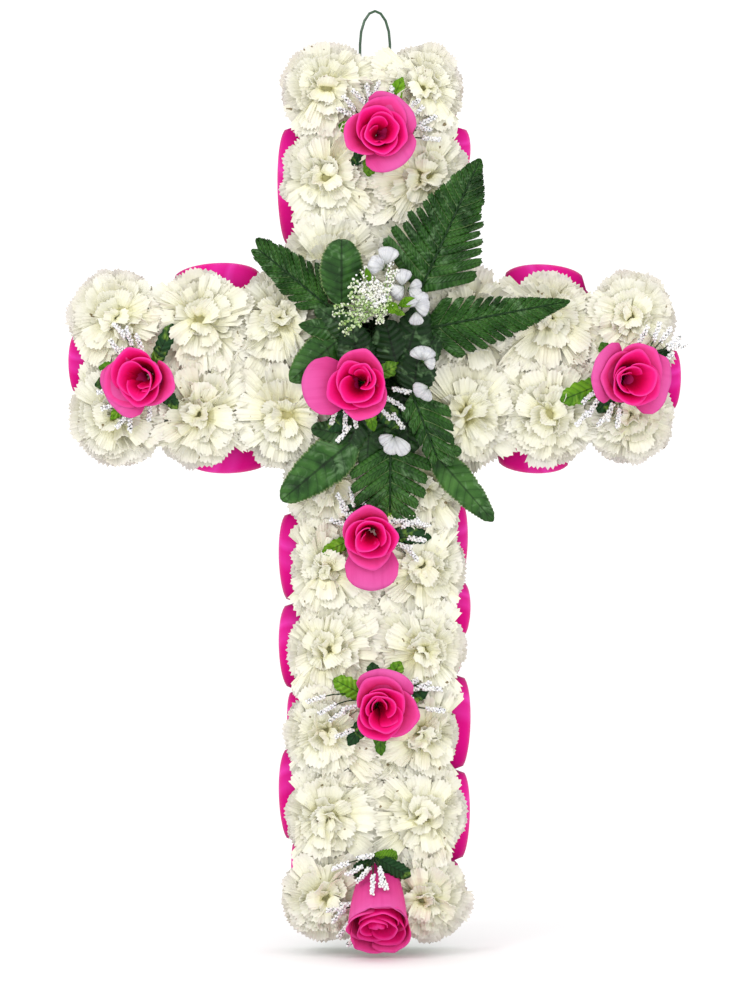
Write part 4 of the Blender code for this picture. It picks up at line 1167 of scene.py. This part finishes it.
# Sprays of each pick: tip of each twig (across, up), with its rise where it springs from the fork
PICK_TWIGS = {
    "crown": (
        (-0.0224, 0.1911), (-0.0161, 0.1953), (-0.0266, 0.1827), (-0.0063, 0.1995), (0.0028, 0.2016),
        (0.0119, 0.1981), (0.0343, 0.1834), (0.0434, 0.1771), (0.0399, 0.1673), (0.0463, 0.1603),
        (0.0315, 0.1883),
    ),
    "left": (
        (-0.1843, 0.0299), (-0.1759, 0.0271), (-0.1689, 0.0222), (-0.1871, 0.0187), (-0.1794, 0.0131),
        (-0.1962, -0.0191), (-0.1934, -0.0303), (-0.1829, -0.0436), (-0.1731, -0.0464),
        (-0.1598, -0.0387),
    ),
    "right": (
        (0.1927, 0.0278), (0.2011, 0.0306), (0.2095, 0.0271), (0.2165, 0.0215), (0.22, 0.0145),
        (0.2109, 0.0089), (0.1465, -0.0261), (0.1507, -0.0359), (0.157, -0.0422), (0.164, -0.0387),
        (0.171, -0.0436), (0.1423, -0.0422),
    ),
    "centre": (
        (-0.0308, -0.0415), (-0.021, -0.0464), (-0.0133, -0.0436), (-0.0266, -0.0535),
        (0.0252, -0.0191), (0.0273, -0.0366), (0.0203, -0.0443), (0.0112, -0.038), (0.0168, -0.0275),
    ),
    "below_crossing": (
        (-0.0315, -0.1088), (-0.0245, -0.0983), (-0.0175, -0.1039), (-0.0105, -0.0927),
        (-0.0028, -0.1004), (-0.0175, -0.0857), (-0.0266, -0.0906), (0.0238, -0.1102),
        (0.0308, -0.1081), (0.0392, -0.113), (0.0259, -0.1284), (0.0301, -0.1375), (0.0357, -0.1235),
    ),
    "middle": (
        (-0.0484, -0.2378), (-0.0399, -0.2462), (-0.0322, -0.2511), (-0.028, -0.2623),
        (-0.0231, -0.2427), (0.0147, -0.2237), (0.0217, -0.2202), (0.0301, -0.2216), (0.0392, -0.2237),
        (0.047, -0.2286), (0.0266, -0.2336), (0.0491, -0.2441),
    ),
    "foot": (
        (-0.0301, -0.3555, 0.044), (-0.0203, -0.359, 0.048), (-0.0126, -0.3471, 0.048),
        (-0.0133, -0.3632, 0.054), (-0.0021, -0.3709, 0.0655), (0.0084, -0.3674, 0.0640),
        (0.0040, -0.3660, 0.0640), (-0.0343, -0.3849), (-0.0301, -0.3933), (-0.0245, -0.3814),
        (-0.0259, -0.4038), (-0.0196, -0.4094),
    ),
}
TWIG_BEADS = 22
TWIG_SPIKE = 0.013  # length of the beaded end of a twig


def bead_cluster(beads, root, end, rng, bow):
    """A thin dark twig that arches over the flowers to a spike of small beads round its end."""
    root, end = np.array(root, dtype=float), np.array(end, dtype=float)
    t = np.linspace(0, 1, 9)[:, None]
    go = end - root
    length = np.hypot(go[0], go[1])
    line = root + go * t + np.array([-go[1], go[0], 0.0]) * (bow * np.sin(np.pi * t))
    line[:, 2] += 0.003 * np.sin(np.pi * t[:, 0])
    line = resting(line, 0.0034)
    beads.tube(line, 0.00050, sides=4, tone=1.0, kind=1.0)
    k = 1 - (TWIG_SPIKE / length) * np.linspace(0.0, 1.0, TWIG_BEADS)
    middle = np.stack([np.interp(k, t[:, 0], line[:, i]) for i in range(3)], axis=-1)
    turn = 2.4 * np.arange(TWIG_BEADS) + rng.uniform(0, 6.28)
    side = unit(np.array([-go[1], go[0], 0.0]))
    around = np.cos(turn)[:, None] * side + np.sin(turn)[:, None] * np.array([0.0, 0.0, 1.0])
    middle = middle + around * rng.uniform(0.0007, 0.0014, TWIG_BEADS)[:, None]
    sizes = rng.uniform(0.0010, 0.0014, TWIG_BEADS)
    beads.beads(middle, sizes, tone=rng.uniform(0, 0.2, TWIG_BEADS))


def rose_pick(word):
    """The stem, leaf slips and sprays under one rose."""
    foot, face, tilt = ROSES[word][:3]
    rng = np.random.default_rng(700 + len(word))
    axis = leaning(tilt)[0]
    top = np.array(face) - axis * ROSE_DEPTH
    top[2] = max(top[2], float(bed(top, 0.0048))) - 0.0018
    fork = np.array(NODDING[word][2]) if word in NODDING else top
    slips = Shape()
    stalk(slips, foot, top)
    if word in NODDING:
        stalk(slips, foot, fork)
    for across, up, half, tone in PICK_LEAVES[word]:
        add_blade(
            slips, fork, (across, up, top[2] + 0.004), half, tone=tone,
            teeth=9, tooth=0.24, widest=0.72, floor=0.002, fold=0.25, cut=0.6,
        )
    slips.finish(f"rose_{word}_slips", LIME, "fresh_green_leaf", [f"rose_{word}_pick"], thick=0.0004)
    spray = Shape()
    for across, up, *rise in PICK_TWIGS[word]:
        root, high = (fork, rise[0]) if rise else (top - axis * 0.001, top[2] + 0.006)
        bead_cluster(spray, root, (across, up, high), rng, rng.uniform(-0.12, 0.12))
    spray.finish(f"rose_{word}_spray", BLOSSOM, "blossom_white")


for word in ROSES:
    rose_pick(word)


# Blossoms of the centre

BLOSSOM_FOOT = (0.006, 0.018)
BLOSSOM_FORK = (0.004, 0.040, 0.059)
BLOSSOM_RISE, LOW_BLOSSOM_RISE = 0.0645, 0.058
# White petals: foot (across, up), heading in degrees, length, half width as a share of the length
BLOSSOM_PETALS = (
    (0.0063, 0.0678, 165, 0.0115, 0.66), (0.0056, 0.0678, 122, 0.0100, 0.62),
    (0.0077, 0.0699, 78, 0.0130, 0.6), (0.0189, 0.0552, 86, 0.0120, 0.56),
    (0.0203, 0.0545, 215, 0.0105, 0.66), (0.0238, 0.0538, 25, 0.0095, 0.4),
    (0.0238, 0.0531, 322, 0.0090, 0.6), (0.0189, 0.0404, 24, 0.0200, 0.26),
    (0.0273, 0.0433, 48, 0.0090, 0.6), (0.0273, 0.0419, 345, 0.0110, 0.62),
    (0.0287, 0.0369, 272, 0.0090, 0.6), (0.0336, 0.0026, 62, 0.0105, 0.6),
    (0.0329, 0.0033, 118, 0.0100, 0.6), (0.0343, 0.0019, 350, 0.0080, 0.6),
    (0.0371, -0.0156, 196, 0.0105, 0.55), (0.0378, -0.017, 250, 0.0085, 0.55),
    (0.0133, -0.0507, 255, 0.0125, 0.44), (0.014, -0.05, 302, 0.0150, 0.4),
    (0.0126, -0.0492, 212, 0.0105, 0.46),
)
# Spikes of beads: tip (across, up) and tone, white at 0 and green at 0.7
SPIKE_BEADS = 40
SPIKES = (
    (-0.0105, 0.065, 0.25), (-0.0147, 0.0594, 0.28), (-0.0063, 0.0664, 0.22), (-0.0007, 0.0622, 0.2),
    (0.0035, 0.058, 0.25), (0.0105, 0.0713, 0.2), (0.0147, 0.0664, 0.25), (0.0, 0.044, 0.2),
    (0.0084, 0.0482, 0.2), (0.0126, 0.0594, 0.25), (-0.0175, 0.0552, 0.45), (-0.0168, 0.0489, 0.55),
    (-0.0133, 0.044, 0.6), (-0.0063, 0.0419, 0.6), (0.0007, 0.0369, 0.6), (0.0077, 0.0376, 0.55),
    (0.0042, 0.0299, 0.45), (0.0112, 0.0433, 0.5), (-0.0294, 0.0348, 0.5), (-0.028, 0.0419, 0.55),
    (-0.0245, 0.0278, 0.6), (-0.021, 0.0222, 0.6), (-0.0091, 0.0538, 0.3), (-0.0049, 0.0503, 0.3),
)
# Small fresh leaves: root and tip (across, up), half width
SMALL_LEAVES = (
    ((0.0077, 0.0433), (0.0161, 0.0362), 0.0046), ((0.0161, 0.0411), (0.0287, 0.0461), 0.004),
    ((0.0119, 0.0383), (0.021, 0.0348), 0.0026), ((-0.0035, 0.0573), (-0.0063, 0.0678), 0.0024),
)


def blossom_sprig():
    """Small white blossoms, spikes of cream and green beads and small leaves over the middle of the
    foliage. A petal swells from its foot as sin(t)^0.9, arches, and hangs at its sides and its end."""
    rng = np.random.default_rng(55)
    sprig, petals, leaves = Shape(), Shape(), Shape()
    stalk(sprig, BLOSSOM_FOOT, BLOSSOM_FORK)
    fork = np.array(BLOSSOM_FORK)
    for across, up, tone in SPIKES:
        end = np.array([across, up, 0.066 - 0.06 * math.hypot(across - fork[0], up - fork[1])])
        t = np.linspace(0, 1, 7)[:, None]
        line = fork + (end - fork) * t
        line[:, 2] += 0.002 * np.sin(np.pi * t[:, 0])
        sprig.tube(line, 0.0005, sides=5, tone=0.8, kind=1.0)
        k = rng.uniform(0.25, 1.04, SPIKE_BEADS)
        middle = np.stack([np.interp(k, t[:, 0], line[:, i]) for i in range(3)], axis=-1)
        middle = middle + rng.normal(0, 1, (SPIKE_BEADS, 3)) * [0.0014, 0.0014, 0.0010]
        sizes = rng.uniform(0.0006, 0.0012, SPIKE_BEADS)
        sprig.beads(middle, sizes, tone=np.clip(tone + rng.normal(0, 0.10, SPIKE_BEADS), 0, 0.75))
    u, v = np.linspace(-1, 1, 11)[None, :], np.linspace(0, 1, 11)[:, None]
    for across, up, heading, length, share in BLOSSOM_PETALS:
        middle = np.array([across, up, BLOSSOM_RISE if up > -0.03 else LOW_BLOSSOM_RISE])
        go = math.radians(heading)
        out_way = np.array([math.cos(go), math.sin(go), 0.0])
        side_way = np.array([-math.sin(go), math.cos(go), 0.0])
        t = v * (1 - 0.30 * (1 - np.sqrt(np.maximum(1 - u**2, 0.0))))
        wide = length * share * np.sin(np.pi / 2 * np.minimum(1, 1.15 * t)) ** 0.9
        high = 0.0034 * np.sin(np.pi * t**0.8) - 0.0045 * u**2 * t**0.5 - 0.0035 * t**3
        high = high + 0.0008 * np.cos(7 * u) * t
        points = middle + out_way * (length * t)[..., None] + side_way * (wide * u)[..., None]
        points[..., 2] += high
        petals.grids(points[None], tip=t[None], tone=0.0, kind=1.0)
        stem = middle * np.array([[1, 1, 0], [1, 1, 0.5], [1, 1, 1]]) + [0, 0, 0.0006]
        sprig.tube(stem, 0.0006, sides=5, tone=0.95, kind=1.0)
    for root, end, half in SMALL_LEAVES:
        add_blade(leaves, (*root, 0.0655), (*end, 0.0665), half, teeth=6, widest=0.5, arch=0.001)
    sprig.finish("blossom_spikes", BLOSSOM, "blossom_white", ["blossom_sprig"])
    petals.finish("blossom_petals", PETAL, "blossom_white", thick=0.0004)
    leaves.finish("blossom_leaves", LIME, "fresh_green_leaf", thick=0.0004)


blossom_sprig()


# Floor, light and camera

FLOOR_HEIGHT = -0.677
FLOOR_RADIUS, FLOOR_CORNERS = 30.0, 96
DAYLIGHT = 1.14
# Each lamp: place, size and power
LAMPS = {"key": ((-1.3, -1.8, 1.1), 0.9, 15.0), "fill": ((1.6, -1.9, 0.2), 1.4, 8.0)}
LAMP_AIM = (0.0, 0.0, -0.33)
# The camera looks along +Y at a plane this far off, of which its sensor's longer side takes in this much
CAMERA_DISTANCE, SEEN_PLANE, SEEN_HEIGHT = 2.4, -0.06, 0.706
CAMERA_HEIGHT = -0.3528
SENSOR = 36.0


def studio():
    """A pale floor, soft light from the front and above, and the camera straight in front."""
    scene = bpy.context.scene
    scene.view_settings.view_transform = "Standard"
    scene.view_settings.exposure = 0.0
    around = 2 * np.pi * np.arange(FLOOR_CORNERS) / FLOOR_CORNERS
    mesh = bpy.data.meshes.new("floor")
    disc = stacked(FLOOR_RADIUS * np.cos(around), FLOOR_RADIUS * np.sin(around), FLOOR_HEIGHT)
    mesh.from_pydata(disc.tolist(), [], [list(range(FLOOR_CORNERS))])
    floor = bpy.data.objects.new("floor", mesh)
    scene.collection.objects.link(floor)
    pale = Finish("pale_floor", 0.9, specular=0.1)
    pale.colour(pale.ramp(pale.noise(3.0), (0.3, (0.93, 0.93, 0.93)), (0.7, (0.95, 0.95, 0.95))))
    mesh.materials.append(pale.material)

    world = bpy.data.worlds.new("studio")
    scene.world = world
    world.use_nodes = True
    sky = world.node_tree.nodes["Background"].inputs
    sky["Color"].default_value = (*WHITE, 1.0)
    sky["Strength"].default_value = DAYLIGHT

    for name, (place, size, power) in LAMPS.items():
        light = bpy.data.lights.new(name, "AREA")
        light.size = size
        light.energy = power
        lamp = bpy.data.objects.new(name, light)
        lamp.location = place
        way = unit(np.array(LAMP_AIM) - np.array(place))
        lamp.rotation_euler = (math.acos(-way[2]), 0.0, math.atan2(way[0], -way[1]) + math.pi)
        scene.collection.objects.link(lamp)

    lens = bpy.data.cameras.new("camera")
    lens.sensor_width = SENSOR
    lens.lens = SENSOR * CAMERA_DISTANCE / SEEN_HEIGHT
    camera = bpy.data.objects.new("camera", lens)
    camera.location = (0.0, SEEN_PLANE - CAMERA_DISTANCE, CAMERA_HEIGHT)
    camera.rotation_euler = (math.pi / 2, 0.0, 0.0)
    scene.collection.objects.link(camera)
    scene.camera = camera


studio()
